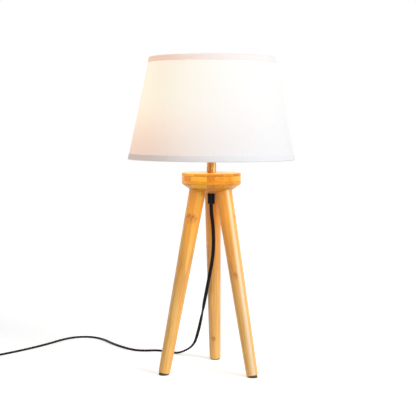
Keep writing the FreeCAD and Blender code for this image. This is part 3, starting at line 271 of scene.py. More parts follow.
def knot_mask(wood, place, centre, outward, along, size):
    """How much of a knot of the bamboo shows: dark curved strokes across one strip, in a darker patch."""
    side = Vector(along).cross(Vector(outward)).normalized()
    turn = Matrix([side, Vector(outward), Vector(along)]).transposed().to_euler()
    local = wood.moved(place, centre, turn, (size[0], 0.006, size[1]))
    x, y, z = (wood.split(local, axis) for axis in range(3))
    ragged = wood.noise(wood.stretched(local, 2.6, 1.0, 0.8), 1.0, 3.0, 0.7) - 0.5
    z = z + ragged * 1.1
    wave = abs(wood.math("SINE", x * 3.6))
    strokes = wood.fade(abs(z - wave * 0.6), 0.55, 0.1, 0.45, 1.0)
    reach = (x**2.0 + z**2.0) ** 0.5
    window = wood.fade(reach, 1.15, 0.55) * wood.fade(y, -1.3, -0.6)
    grain = wood.noise(wood.stretched(local, 9.0, 1.0, 1.0), 1.0, 2.0, 0.6)
    return strokes * window * (wood.fade(grain, 0.3, 0.65, 0.5, 1.0) * 0.85)


PAINTED_BULB_LIGHT_SPAN = (0.08, 0.24)  # distances from its foot between which painted warm light from the bulb grows on a leg
PAINTED_HIGHLIGHT_REACH = (0.0008, 0.0034)  # how far a painted highlight on a leg reaches on each side, before it fades and at most


def bamboo(name, origin, turn, knots=(), layer_shift=0.0, painted_highlight=None):
    """Laminated bamboo under lacquer. Its fibres run along Z of the frame with this origin and turn. The last
    argument is where along Y a paler strip lies: a painted highlight of the lacquer."""
    look = bpy.context.scene.lamp_bamboo
    gloss = {"Roughness": 0.42, "Specular IOR Level": 0.25, "Coat Roughness": 0.13}
    wood = Finish(name, look.middle, gloss)
    place = wood.place()
    local = wood.moved(place, origin, turn)
    across = (wood.split(local, 1) + layer_shift) / look.layer
    layer = wood.math("FLOOR", across)
    tone = wood.node("TexWhiteNoise", {"W": layer}, noise_dimensions="1D")
    shifted = wood.node("CombineXYZ", {"Z": layer * 0.71})
    along = wood.node("VectorMath", {0: local, 1: shifted}, operation="ADD")
    colour, level = wood_fibres(wood, along, tone)
    edge = abs(wood.math("FRACT", across) - 0.5)
    colour = wood.mix(wood.fade(edge, 0.46, 0.5, 0.0, 0.2), colour, look.dark)
    # Painted light: higher up the leg the colour is multiplied deeper orange, for the bulb's warm light
    # falling through the shade's open foot, and the lacquer's coat is weaker there, a painted shade of the
    # head on its gloss.
    upper = wood.fade(wood.split(local, 2), *PAINTED_BULB_LIGHT_SPAN)
    colour = wood.mix(upper, colour, wood.mix(1.0, colour, display(255, 230, 150), "MULTIPLY"))
    # Painted highlight: a paler strip where the lacquer would shine.
    if painted_highlight:
        off = abs(wood.split(local, 1) - painted_highlight)
        colour = wood.mix(wood.fade(off, *PAINTED_HIGHLIGHT_REACH, 0.62, 0.0), colour, display(255, 236, 200))
    wood.set("Coat Weight", wood.fade(upper, 0.0, 1.0, 1.0, 0.7) * look.gloss)
    for centre, outward, axis, size in knots:
        mask = knot_mask(wood, place, centre, outward, axis, size)
        colour = wood.mix(mask, colour, look.knot)
    wood.set("Base Color", colour)
    wood.bump(level, 0.00006, 0.5)
    return wood.material


GLUE_LINES = (0.2724, 0.2652, 0.2610, 0.2555, 0.2400)  # heights where the head's flat layers meet
STRIP = 0.0112  # width of one strip in a layer
STRIP_SHIFT = (0.0022, 0.0021)  # how far the strips' edges lie from the axis
FLANK = (0.2530, 0.2565)  # heights between which the head's curved flank turns into its upright band, whose deeper orange is painted warm light
STRIP_TONES = (0.5, 0.3, 0.85, 0.95, 0.15, 0.4, 0.5, 0.75)  # where strips show their ends, left to right


def head_bamboo():
    """The head's block, glued from flat layers whose strips run lengthways and crosswise in turn."""
    look = bpy.context.scene.lamp_bamboo
    gloss = {"Roughness": 0.4, "Specular IOR Level": 0.12, "Coat Roughness": 0.09}
    wood = Finish("bamboo_head", look.middle, {**gloss, "Coat Weight": look.gloss / 2})
    place = wood.place()
    height = wood.split(place, 2)
    layer = wood.math("GREATER_THAN", height, GLUE_LINES[0])
    for level in GLUE_LINES[1:]:
        layer = layer + wood.math("GREATER_THAN", height, level)
    crossed = layer % 2.0
    strip_x, strip_y = (
        wood.math("FLOOR", (wood.split(place, axis) + shift) / STRIP)
        for axis, shift in enumerate(STRIP_SHIFT)
    )
    lengthways = wood.moved(place, turn=(math.radians(90), 0, 0))
    sideways = wood.moved(place, turn=(0, math.radians(90), 0))
    along = wood.node("Mix", {0: crossed, 4: lengthways, 5: sideways}, output=1, data_type="VECTOR")
    draw = wood.node("TexWhiteNoise", {"W": strip_y + layer * 17.3}, noise_dimensions="1D")
    plain_tone = wood.fade(draw, 0.0, 1.0, 0.25, 0.6)
    count = len(STRIP_TONES)
    tones = [(i / count, tone) for i, tone in enumerate(STRIP_TONES)]
    end_tone = wood.ramp((strip_x + (count / 2 + 0.5)) / count, tones, constant=True)
    tone = wood.node("Mix", {0: crossed, 2: end_tone, 3: plain_tone}, data_type="FLOAT")
    colour, level = wood_fibres(wood, along, tone, 0.6)
    lines = 0.0
    for i, joint in enumerate(GLUE_LINES):
        reach, depth = (0.0004, 0.4) if i else (0.0005, 0.7)
        line = wood.fade(abs(height - joint), 0.0001, reach, depth, 0.0)
        lines = wood.math("MAXIMUM", lines, line)
    # Both tints warm the bamboo. The upright band's much deeper orange is painted warm light from the bulb
    # and the shade's lit inside, and the flank beneath gets a milder tint.
    under, bulb_lit_band = display(255, 238, 196), display(255, 232, 128)
    colour = wood.mix(1.0, colour, wood.mix(wood.fade(height, *FLANK), under, bulb_lit_band), "MULTIPLY")
    colour = wood.mix(lines, colour, look.knot)
    wood.set("Base Color", colour)
    wood.bump(level, 0.00005, 0.4)
    return wood.material


def fine_plastic(name, colour, roughness=0.42, grain=2600, depth=0.00002, constants=None):
    """Moulded plastic with a fine eroded texture and slight variation in gloss."""
    plastic = Finish(name, colour, constants)
    place = plastic.place()
    clouds = plastic.noise(place, 180, 3.0)
    plastic.set("Roughness", plastic.fade(clouds, 0.3, 0.7, roughness - 0.06, roughness + 0.08))
    lighter = tuple(min(1.0, c * 1.25 + 0.004) for c in colour)
    plastic.set("Base Color", plastic.mix(plastic.fade(clouds, 0.35, 0.75), colour, lighter))
    plastic.bump(plastic.noise(place, grain, 2.0), depth, 0.6)
    return plastic.material


def metal(name, colour, patch, roughness, stretch, depth=0.00001):
    """Brushed metal: streaks along the stretched axis, and darker patches."""
    finish = Finish(name, colour, {"Metallic": 1.0})
    place = finish.place()
    streaks = finish.noise(finish.stretched(place, *stretch), 1.0, 3.0, 0.6)
    patches = finish.noise(place, 240, 4.0, 0.65)
    mottle = patches * 0.2 + streaks * 0.8
    finish.set("Base Color", finish.mix(finish.fade(mottle, 0.40, 0.60), colour, patch))
    finish.set("Roughness", finish.fade(streaks, 0.3, 0.7, roughness - 0.07, roughness + 0.12))
    finish.bump(streaks, depth, 0.6)
    return finish.material


def cad(*names):
    return [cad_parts[name] for name in names]


def dress(material, *names):
    for node in cad(*names):
        slots = node.data.materials
        slots.clear()
        slots.append(material)


# ---- building meshes


def placed(name, data):
    made = bpy.data.objects.new(name, data)
    bpy.context.scene.collection.objects.link(made)
    return made


def new_piece(name, mesh, material, body, *replaced):
    """A finished piece that rides on a body and may stand for CAD nodes."""
    piece = placed(name, mesh)
    if material:
        mesh.materials.clear()
        mesh.materials.append(material)
    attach(piece, body)
    if replaced:
        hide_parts(*replaced)
    return piece


def smooth(mesh, angle=30.0):
    for face in mesh.polygons:
        face.use_smooth = True
    mesh.set_sharp_from_angle(angle=math.radians(angle))
    return mesh


def grid_mesh(name, rings, closed_ends=False, wrap_rows=False, uvs=None):
    """A mesh from rings of points that close on themselves. wrap_rows joins the last ring to the first."""
    made = bmesh.new()
    rows = [[made.verts.new(point) for point in ring] for ring in rings]
    layer = made.loops.layers.uv.new("UVMap") if uvs else None
    count = len(rows[0])
    last = len(rows) if wrap_rows else len(rows) - 1
    for i in range(last):
        low, high = rows[i], rows[(i + 1) % len(rows)]
        for j in range(count):
            k = (j + 1) % count
            face = made.faces.new((low[j], low[k], high[k], high[j]))
            if layer:
                spots = ((i, j), (i, j + 1), (i + 1, j + 1), (i + 1, j))
                for loop, (row, column) in zip(face.loops, spots):
                    loop[layer].uv = uvs(row, column)
    if closed_ends:
        made.faces.new(list(reversed(rows[0])))
        made.faces.new(rows[-1])
    bmesh.ops.recalc_face_normals(made, faces=made.faces)
    mesh = bpy.data.meshes.new(name)
    made.to_mesh(mesh)
    made.free()
    return mesh


def turned_mesh(name, profile, sides=96, wobble=None, uvs=None):
    """A closed profile of (radius, height) turned about the Z axis."""

    def point(index, side):
        turn = 2 * math.pi * side / sides
        radius, height = profile[index]
        if wobble:
            radius, height = wobble(index, turn, radius, height)
        return radius * math.cos(turn), radius * math.sin(turn), height

    rings = [[point(i, side) for side in range(sides)] for i in range(len(profile))]
    return grid_mesh(name, rings, wrap_rows=True, uvs=uvs)


def rounded(corners, steps=5):
    """A closed profile whose corners are (radius, height, rounding)."""
    points = []
    for i, (x, y, rounding) in enumerate(corners):
        here = Vector((x, y))
        if rounding <= 0:
            points.append((x, y))
            continue
        before = Vector(corners[i - 1][:2]) - here
        after = Vector(corners[(i + 1) % len(corners)][:2]) - here
        half = before.angle(after) / 2
        setback = rounding / math.tan(half)
        before.normalize()
        after.normalize()
        centre = here + (before + after).normalized() * (rounding / math.sin(half))
        first, last = here + before * setback - centre, here + after * setback - centre
        for step in range(steps + 1):
            arm = first.slerp(last, step / steps) * rounding
            points.append(tuple(centre + arm))
    return points


def joined(name, *meshes):
    made = bmesh.new()
    for mesh in meshes:
        made.from_mesh(mesh)
    whole = bpy.data.meshes.new(name)
    made.to_mesh(whole)
    made.free()
    return whole


class Steps(Nodes):
    """A Geometry Nodes tree with named inputs, which ends as a plain mesh."""

    def __init__(self, name, **inputs):
        self.tree = bpy.data.node_groups.new(name, "GeometryNodeTree")
        super().__init__(self.tree)
        self.values = inputs
        for label, value in inputs.items():
            kind = "NodeSocketInt" if isinstance(value, int) else "NodeSocketFloat"
            self.tree.interface.new_socket(label, in_out="INPUT", socket_type=kind)
        self.tree.interface.new_socket("Geometry", in_out="OUTPUT", socket_type="NodeSocketGeometry")
        self.entry = self.nodes.new("NodeGroupInput")

    def given(self, label):
        return Value(self, self.entry.outputs[label])

    def shape(self, kind, inputs=None, **settings):
        """A node that works on the geometry itself."""
        return self.node(kind, inputs, family="Geometry", **settings)

    def vector(self, x=0.0, y=0.0, z=0.0):
        return self.node("CombineXYZ", {0: x, 1: y, 2: z})

    def mesh(self, geometry, material, solid=0.0):
        """Ends the tree, and returns what it makes as a mesh, with walls of the given thickness."""
        real = self.shape("RealizeInstances", {0: geometry})
        painted = self.shape("SetMaterial", {"Geometry": real, "Material": material})
        self.connect(self.nodes.new("NodeGroupOutput").inputs[0], painted)
        holder = placed(self.tree.name, bpy.data.meshes.new(self.tree.name))
        modifier = holder.modifiers.new("steps", "NODES")
        modifier.node_group = self.tree
        for item in self.tree.interface.items_tree:
            if item.item_type == "SOCKET" and item.in_out == "INPUT":
                modifier[item.identifier] = self.values[item.name]
        if solid:
            wall = holder.modifiers.new("wall", "SOLIDIFY")
            wall.thickness = solid
            wall.offset = -1.0
            wall.use_even_offset = True
        seen = holder.evaluated_get(bpy.context.evaluated_depsgraph_get())
        made = bpy.data.meshes.new_from_object(seen)
        bpy.data.objects.remove(holder)
        return made


def thread_ridge(name, material, radius, foot, height, pitch, ridge):
    """The ridge of a screw thread: a small round section swept along a helix."""
    steps = Steps(name, Radius=radius, Foot=foot, Height=height, Pitch=pitch, Ridge=ridge)
    around, rise = steps.given("Radius"), steps.given("Height")
    turns = {"Resolution": 48, "Rotations": rise / steps.given("Pitch"), "Height": rise}
    helix = steps.shape("CurveSpiral", {**turns, "Start Radius": around, "End Radius": around})
    circle = {"Resolution": 8, "Radius": steps.given("Ridge")}
    section = steps.shape("CurvePrimitiveCircle", circle)
    sweep = {"Curve": helix, "Profile Curve": section, "Fill Caps": True}
    swept = steps.shape("CurveToMesh", sweep)
    lift = {"Geometry": swept, "Translation": steps.vector(z=steps.given("Foot"))}
    lifted = steps.shape("Transform", lift)
    return steps.mesh(steps.shape("SetShadeSmooth", {0: lifted}), material)


def threaded_piece(name, corners, sides, material, body, node, **thread):
    """A sleeve turned from its corners, with the ridge of a screw thread round it."""
    sleeve = smooth(turned_mesh("sleeve", rounded(corners), sides))
    ridge = thread_ridge("thread", material, **thread)
    new_piece(name, joined(name, sleeve, ridge), material, body, node)


# ---- the flat flex

GLAND_MOUTH = (0.0, 0.0, 0.233)
TWIST_TOP, TWIST_HEIGHT = 0.150, 0.138  # where the flex starts to turn flat, and over what height it does
LAY = 0.0014  # height of the flex's middle where it lies flat
FALL = [
    (0.0, 0.0, 0.2210), (0.0023, 0.0024, 0.2050), (0.0029, 0.0076, 0.1810),
    (0.0012, 0.0173, 0.1575), (-0.0058, 0.0280, 0.1226), (-0.0133, 0.0434, 0.0895),
    (-0.0197, 0.0641, 0.0625), (-0.0263, 0.0811, 0.0372), (-0.0338, 0.0892, 0.0141),
    (-0.0545, 0.0901, 0.0028),
]
FLOOR_RUN = [
    (-0.0696, 0.0992), (-0.0892, 0.1135), (-0.118, 0.104), (-0.142, 0.121),
    (-0.168, 0.151), (-0.190, 0.184), (-0.211, 0.199), (-0.234, 0.196),
    (-0.252, 0.175), (-0.268, 0.134), (-0.297, 0.083), (-0.322, 0.048),
    (-0.33911, 0.02865),
]
SWITCH_IN = [(-0.34327, 0.00908, 0.008), (-0.34555, -0.00168, 0.008)]
SWITCH_OUT = [(-0.35845, -0.06232, 0.008), (-0.36073, -0.07308, 0.008)]
TO_COIL = [(-0.36489, -0.09265, LAY), (-0.35989, -0.11623, LAY)]
COIL_PLACE = (-0.327, -0.136)
COIL_RADIUS = 0.029
COIL_PITCH = 0.0053
COIL_TURNS = 2.25
COIL_START = math.radians(172.0)
UPPER_LAY = 0.0043  # height of the flex's middle in the coil's upper layer
COIL_STEPS = 16  # points in a turn
TO_PLUG = [(-0.36227, -0.13508, 0.0050), (-0.36497, -0.15136, 0.00685), (-0.37061, -0.16686, 0.00685)]


def coil_route():
    """Points of the two flat layers: the lower spirals in and climbs, the upper spirals out."""
    outer = COIL_RADIUS + COIL_PITCH * COIL_TURNS / 2
    inner = COIL_RADIUS - COIL_PITCH * COIL_TURNS / 2
    inward = round(COIL_TURNS * COIL_STEPS)
    climb = COIL_STEPS // 2
    spread = 1 / (0.75 + 0.25 * math.cos(2 * math.pi / COIL_STEPS))  # the line keeps inside its points
    points = []
    for step in range(1, 2 * inward + climb):
        if step <= inward + climb:
            radius = outer - COIL_PITCH * step / COIL_STEPS
        else:
            lowest = inner - COIL_PITCH / 2
            radius = lowest + (outer - lowest) * (step - inward - climb) / inward
        share = min(max((step - inward) / climb, 0.0), 1.0)
        height = LAY + (UPPER_LAY - LAY) * share * share * (3 - 2 * share)
        turn = COIL_START + 2 * math.pi * step / COIL_STEPS
        x = COIL_PLACE[0] + radius * spread * math.cos(turn)
        y = COIL_PLACE[1] + radius * spread * math.sin(turn)
        points.append((x, y, height))
    return points


def smooth_line(name, points, fineness):
    """Points read from the NURBS line that has the route's points as its control points."""
    curve = bpy.data.curves.new(name, "CURVE")
    curve.dimensions = "3D"
    spline = curve.splines.new("NURBS")
    spline.points.add(len(points) - 1)
    for point, place in zip(spline.points, points):
        point.co = (*place, 1.0)
    spline.order_u = 3
    spline.use_endpoint_u = True
    spline.resolution_u = fineness
    curve.resolution_u = fineness
    holder = bpy.data.objects.new(name, curve)
    line = bpy.data.meshes.new_from_object(holder)
    found = [vertex.co.copy() for vertex in line.vertices]
    bpy.data.objects.remove(holder)
    return found


def flat_section(width, thickness, steps=6):
    """The flex's outline: two half rounds and two flat faces."""
    radius = thickness / 2
    reach = width / 2 - radius
    outline = []
    for side in (1, -1):
        for step in range(steps + 1):
            turn = math.radians(-90 + 180 * step / steps)
            outline.append((side * (reach + radius * math.cos(turn)), side * radius * math.sin(turn)))
    return outline


def flex_mesh(name, line, section, facing):
    """The section swept along the line. facing(point) is the way that the flat face looks."""
    rings, reached, run = [], [], 0.0
    for i, here in enumerate(line):
        before, after = line[max(i - 1, 0)], line[min(i + 1, len(line) - 1)]
        way = (after - before).normalized()
        side = way.cross(facing(here)).normalized()
        up = side.cross(way)
        rings.append([here + side * x + up * y for x, y in section])
        run += (here - before).length if i else 0.0
        reached.append(run)
    around = [0.0]
    for first, second in zip(section, section[1:] + section[:1]):
        around.append(around[-1] + math.dist(first, second))
    mesh = grid_mesh(name, rings, closed_ends=True, uvs=lambda row, column: (reached[row], around[column]))
    return smooth(mesh, 50)


def hanging_face(point):
    """At the gland the flex shows its wide face to the front, and on the floor it lies flat."""
    share = min(max((TWIST_TOP - point.z) / TWIST_HEIGHT, 0.0), 1.0)
    turn = math.radians(90) * share * share * (3 - 2 * share)
    return Vector((0.0, -math.cos(turn), math.sin(turn)))


def lying_face(_point):
    return Vector((0.0, 0.0, 1.0))


def flex_finish():
    look = bpy.context.scene.lamp_flex
    sheath = Finish("flex_sheath", look.colour, {"Specular IOR Level": 0.16})
    run = sheath.node("UVMap", uv_map="UVMap")
    scuffs = sheath.noise(sheath.stretched(run, 60, 900, 1), 1.0, 3.0, 0.6)
    clouds = sheath.noise(sheath.stretched(run, 25, 25, 1), 1.0, 2.0)
    paler = tuple(c * 1.5 + 0.002 for c in look.colour)
    sheath.set("Base Color", sheath.mix(sheath.fade(scuffs, 0.5, 0.75, 0.0, 0.6), look.colour, paler))
    sheath.set("Roughness", sheath.fade(clouds, 0.3, 0.7, 0.42, 0.6))
    sheath.bump(scuffs, 0.00002, 0.5)
    return sheath.material


class LAMP_OT_flex(bpy.types.Operator):
    """Lay the flat flex from the gland to the switch, and from the switch over its coil to the plug"""

    bl_idname = "lamp.flex"
    bl_label = "Flat Flex"

    def execute(self, context):
        look = context.scene.lamp_flex
        finish = flex_finish()
        section = flat_section(look.width, look.thickness)
        floor_run = [(x, y, LAY) for x, y in FLOOR_RUN]
        first = smooth_line("first_run", [GLAND_MOUTH, *FALL, *floor_run, *SWITCH_IN], 10)
        mesh = flex_mesh("flex_lamp_to_switch", first, section, hanging_face)
        lead = new_piece("flex_lamp_to_switch", mesh, finish, "lamp_base", "cord_lamp_to_switch")
        second = smooth_line("second_run", [*SWITCH_OUT, *TO_COIL, *coil_route(), *TO_PLUG], 6)
        mesh = flex_mesh("flex_switch_to_plug", second, section, lying_face)
        replaced = ("cord_switch_to_coil", "cord_coil", "cord_coil_to_plug")
        tail = new_piece("flex_switch_to_plug", mesh, finish, "lamp_base", *replaced)
        self.inner_flex(section, finish)
        return {"FINISHED"}

    def inner_flex(self, section, finish):
        """The flex inside the tube, and its two cores up to the holder's screws."""
        foot, top = GLAND_MOUTH[2], 0.3048
        line = [Vector((0.0, 0.0, foot + (top - foot) * i / 12)) for i in range(13)]
        inner = [(x * 0.97, y * 0.97) for x, y in section]
        mesh = flex_mesh("flex_in_tube", line, inner, lambda _point: Vector((0.0, -1.0, 0.0)))
        new_piece("flex_in_tube", mesh, finish, "lamp_base", "stem_cable")
        turns = [math.pi * k / 5 for k in range(10)]
        core = 0.0009  # radius
        ring = [(core * math.cos(turn), core * math.sin(turn)) for turn in turns]
        cores = []
        for side in (-1, 1):
            route = [(side * 0.00115, 0.0, z) for z in (top, 0.3068, 0.3080)]
            route += [(side * x, 0.0, 0.3088) for x in (0.0016, 0.0034, 0.0060, 0.0080)]
            line = smooth_line("core", route, 6)
            cores.append(flex_mesh("core", line, ring, lambda _point: Vector((0.0, 1.0, 0.0))))
        cover = fine_plastic("core_insulation", display(110, 66, 40), 0.4)
        new_piece("core_wire_pair", joined("core_wire_pair", *cores), cover, "lamp_base", "core_wires")


# ---- wooden stand

LEGS = {
    "leg_back": ((0.0, 0.06962, 0.00243), 90.0),
    "leg_front_left": ((-0.0603, -0.03481, 0.00243), 210.0),
    "leg_front_right": ((0.0603, -0.03481, 0.00243), 330.0),
}
LEAN = 11.1005
PAINTED_HIGHLIGHTS = {"leg_front_right": -0.0049}  # where a painted highlight lies on a leg: from the leg's axis, along its Y
# Each knot has its middle, the way it faces, and half its width and height.
KNOTS = {
    "leg_back": [((-0.0010, 0.0557, 0.0324), (-0.128, -0.973, -0.191), (0.0040, 0.0040))],
    "leg_front_left": [
        ((-0.02515, -0.02453, 0.2137), (-0.053, -0.993, 0.106), (0.0088, 0.0078)),
        ((-0.01124, -0.01875, 0.2467), (0.684, -0.729, -0.045), (0.0014, 0.0030)),
    ],
    "leg_front_right": [
        ((0.03681, -0.03095, 0.1375), (-0.071, -0.994, 0.085), (0.0032, 0.0062)),
        ((0.03370, -0.01799, 0.2166), (0.904, -0.382, 0.191), (0.0030, 0.0036)),
    ],
}


class LAMP_OT_stand(bpy.types.Operator):
    """Give the head and the legs their laminated bamboo, and the feet their rubber"""

    bl_idname = "lamp.stand"
    bl_label = "Wooden Stand"

    def execute(self, context):
        dress(head_bamboo(), "tripod_head")
        for number, (name, (foot, direction)) in enumerate(LEGS.items()):
            turn = (0.0, -math.radians(LEAN), math.radians(direction))
            axis = Matrix.Rotation(turn[2], 3, "Z") @ Matrix.Rotation(turn[1], 3, "Y") @ Vector((0, 0, 1))
            knots = [(centre, outward, axis, size) for centre, outward, size in KNOTS[name]]
            dress(bamboo(f"bamboo_{name}", foot, turn, knots, 0.0013 * number, PAINTED_HIGHLIGHTS.get(name)), name)
        rubber = fine_plastic("foot_rubber", display(80, 60, 48), 0.7, 1400, 0.00005)
        dress(rubber, "foot_pad_back", "foot_pad_front_left", "foot_pad_front_right")
        return {"FINISHED"}


# ---- metal fittings


class LAMP_OT_fittings(bpy.types.Operator):
    """Finish the brass stem and the zinc-plated tube, nut, washer, bolts and inserts"""

    bl_idname = "lamp.fittings"
    bl_label = "Metal Fittings"

    def execute(self, context):
        look = context.scene.lamp_finishes
        brass = metal("aged_brass", look.brass, look.tarnish, 0.3, (380, 380, 14), 0.00002)
        dress(brass, "stem_sleeve")
        zinc = metal("zinc_plate", look.steel, display(150, 150, 146), 0.36, (700, 700, 700))
        dress(zinc, "threaded_tube", "tube_washer", "tube_lock_nut")
        dress(zinc, "leg_hanger_bolts", "leg_threaded_inserts")
        dull = {"Specular IOR Level": 0.2}
        dress(fine_plastic("gland_plastic", display(12, 9, 8), 0.38, constants=dull), "cord_gland")
        black = metal("black_screw", display(46, 44, 42), display(30, 29, 28), 0.4, (900, 900, 900))
        dress(black, "gland_screw")
        return {"FINISHED"}


# ---- lamp holder


class LAMP_OT_holder(bpy.types.Operator):
    """Make the holder's threaded shell, and finish its cap, core, contacts and the shade's ring"""

    bl_idname = "lamp.holder"
    bl_label = "Lamp Holder"

    def execute(self, context):
        look = context.scene.lamp_finishes
        plastic = fine_plastic("holder_plastic", look.plastic, 0.36, 1900)
        dress(plastic, "holder_cap", "shade_ring")
        bore, root, crest, skirt, flange = 0.0122, 0.01338, 0.0140, 0.01365, 0.0160
        foot, ledge, shoulder, mouth = 0.312, 0.318, 0.321, 0.356
        middle = root + 0.0001
        corners = [
            (bore, foot, 0.0), (skirt, foot, 0.0002), (skirt, ledge, 0.0), (flange, ledge, 0.0004),
            (flange, shoulder, 0.0005), (root, shoulder, 0.0), (root, mouth, 0.0005), (bore, mouth, 0.0003),
        ]
        threaded_piece(
            "holder_thread_shell", corners, 128, plastic, "lamp_base", "holder_shell",
            radius=middle, foot=0.3222, height=0.0325, pitch=0.002, ridge=crest - middle,
        )
        ceramic = fine_plastic("holder_ceramic", display(232, 229, 220), 0.3, 1200, 0.00003)
        dress(ceramic, "holder_insulator")
        contact = metal("contact_brass", display(214, 178, 104), display(180, 140, 76), 0.26, (800, 800, 800))
        dress(contact, "holder_screw_contact", "holder_centre_contact", "holder_terminal_screws")
        return {"FINISHED"}


# ---- shade

THREAD = 0.00046  # from one thread of the cloth to the next
GLOW_GROWS = (0.290, 0.360)  # heights between which the light through the cloth reaches its full strength
GLOW_PALES = (0.300, 0.385)  # and between which its colour goes from low to high
GLOW_FADES = (-0.06, 0.148)  # distances towards the key light between which the painted glow is made weaker, as if washed out
SHADE_FOOT, SHADE_TOP = 0.294, 0.433  # heights of the shade's edges above the floor
FOOT_REACH, TOP_REACH = 0.115, 0.086  # outside radii of the shade at these edges
HEM, WIRE, FOLD = 0.0005, 0.00316, 0.00015  # hem cloth, the ring's wire with its room, and the hem's lap


def cloth_finish(name, low, high, strength, lining):
    """Plain-woven cloth on a stiff backing. The bulb's light through it is painted on as emission, made
    weaker towards the key light, in the colour low near the lower edge and high level with the bulb. A lining
    is painted as lit on its inside too."""
    look = bpy.context.scene.lamp_shade
    cloth = Finish(name, look.cloth, {"Specular IOR Level": 0.2, "Sheen Weight": 0.1, "Sheen Roughness": 0.5})
    run = cloth.node("UVMap", uv_map="UVMap")
    place = cloth.place()
    across, up = cloth.split(run, 0), cloth.split(run, 1)
    warp, weft = (cloth.math("SINE", way * (2 * math.pi / THREAD)) for way in (across, up))
    slubs = cloth.noise(cloth.stretched(run, 60, 1600, 1), 1.0, 2.0, 0.6)
    risers = cloth.noise(cloth.stretched(run, 1600, 60, 1), 1.0, 2.0, 0.6)
    grain = (slubs + risers) * 0.5
    tint = cloth.mix(cloth.fade(grain, 0.36, 0.64), tuple(c * 0.95 for c in look.cloth), look.cloth)
    cloth.set("Base Color", tint)
    cloth.set("Roughness", cloth.fade(grain, 0.3, 0.7, 0.8, 0.95))
    cloth.bump(warp * weft * 0.3 + grain, 0.00006, 0.4)
    height = cloth.split(place, 2)
    rise = cloth.fade(height, *GLOW_GROWS, 0.72, 1.0)
    key_turn = bpy.context.scene.lamp_stage.key_turn
    to_key = (math.sin(key_turn), -math.cos(key_turn), 0.0)
    side = cloth.fade(cloth.dot(place, to_key), *GLOW_FADES, 1.0, 0.04)
    even = cloth.fade(grain, 0.3, 0.7, 0.97, 1.03)
    light = rise * side * even
    if lining:
        facing = cloth.node("NewGeometry", output="Normal")
        outside = cloth.fade(cloth.dot(facing, cloth.stretched(place, 1, 1, 0)), -0.02, 0.0)
        light = cloth.node("Mix", {0: outside, 2: 1.5, 3: light}, data_type="FLOAT")
    warm = cloth.mix(cloth.fade(height, *GLOW_PALES), low, high)
    cloth.set("Emission Color", cloth.mix(light, (0.0, 0.0, 0.0), warm))
    cloth.set("Emission Strength", strength)
    return cloth.material


def cloth_cone(finish):
    """The shade's cloth, rolled into a cone with one glued seam, as a rule in Geometry Nodes."""
    look = bpy.context.scene.lamp_shade
    labels = ("bottom_radius", "top_radius", "foot", "height", "seam_turn", "seam_lift", "sides", "rows")
    steps = Steps("shade_cone", **{label: getattr(look, label) for label in labels})
    bottom, top, foot, height, seam_turn, seam_lift, sides, rows = (steps.given(label) for label in labels)
    size = {"Size X": 1.0, "Size Y": 1.0, "Vertices X": sides + 1.0, "Vertices Y": rows + 1.0}
    grid = steps.shape("MeshGrid", size)
    spot = steps.shape("InputPosition")
    round_share, up_share = (steps.split(spot, axis) + 0.5 for axis in range(2))
    turn = round_share * (2 * math.pi) + seam_turn
    lap = steps.fade(round_share, 0.012, 0.045, 1.0, 0.0)
    radius = lap * seam_lift + (up_share * (top - bottom) + bottom)
    x, y = (radius * steps.math(way, turn) for way in ("COSINE", "SINE"))
    z = up_share * height + foot
    flat = steps.vector(round_share * ((top + bottom) * math.pi), up_share * height)
    named = {"Geometry": grid, "Name": "UVMap", "Value": flat}
    mapped = steps.shape("StoreNamedAttribute", named, data_type="FLOAT2", domain="CORNER")
    rolled = steps.shape("SetPosition", {"Geometry": mapped, "Position": steps.vector(x, y, z)})
    closed = steps.shape("MergeByDistance", {"Geometry": rolled, "Distance": 0.00005})
    soft = steps.shape("SetShadeSmooth", {0: closed})
    return steps.mesh(soft, finish, solid=look.thickness)


def rim_profile(way):
    """The rolled hem's section: cloth turned round the wire, from 8 mm outside to 4.6 mm inside. way is 1 at
    the lower edge and -1 at the upper."""
    slope = (FOOT_REACH - TOP_REACH) / (SHADE_TOP - SHADE_FOOT)
    rim = SHADE_FOOT if way > 0 else SHADE_TOP

    def at(height, inset, rounding=0.0):
        level = rim + way * height
        return FOOT_REACH - slope * (level - SHADE_FOOT) - inset, level, rounding

    outer, inner = 0.0080, 0.0046  # the hem's widths
    inside = HEM + (CLOTH + WIRE)
    corners = [
        at(outer, 0.0, 0.0002), at(outer, HEM, 0.0), at(0.0012, HEM, 0.0006), at(HEM, 0.0012, 0.0),
        at(HEM, inside, 0.0008), at(inner, inside, 0.0), at(inner, HEM * 2 + (CLOTH + WIRE), 0.0002),
        at(0.0, HEM * 2 + (CLOTH + WIRE), 0.0013), at(0.0, 0.0, 0.0012),
    ]
    return rounded(corners, 4)


def puckers(index, turn, radius, height):
    """Small ripples of a hem that is glued round a curve."""
    ripple = 0.5 * math.sin(47 * turn + 1.3) + 0.35 * math.sin(113 * turn + index)
    ripple += 0.25 * math.sin(19 * turn)
    past_seam = turn - math.radians(360 + SEAM)
    raised = FOLD if -0.002 < past_seam < 0.078 else 0.0
    return radius + 0.00008 * ripple + raised, height + 0.00006 * math.sin(31 * turn + 0.7)


def hem_piece(name, way, finish, node):
    profile = rim_profile(way)
    lengths = [0.0]
    for first, second in zip(profile, profile[1:] + profile[:1]):
        lengths.append(lengths[-1] + math.dist(first, second))
    sides = 480
    round_length = 2 * math.pi * 0.1  # of a circle between the two hems

    def unrolled(row, column):
        return column / sides * round_length, lengths[row]

    mesh = turned_mesh(name, profile, sides, puckers, unrolled)
    return new_piece(name, smooth(mesh, 40), finish, "shade", node)


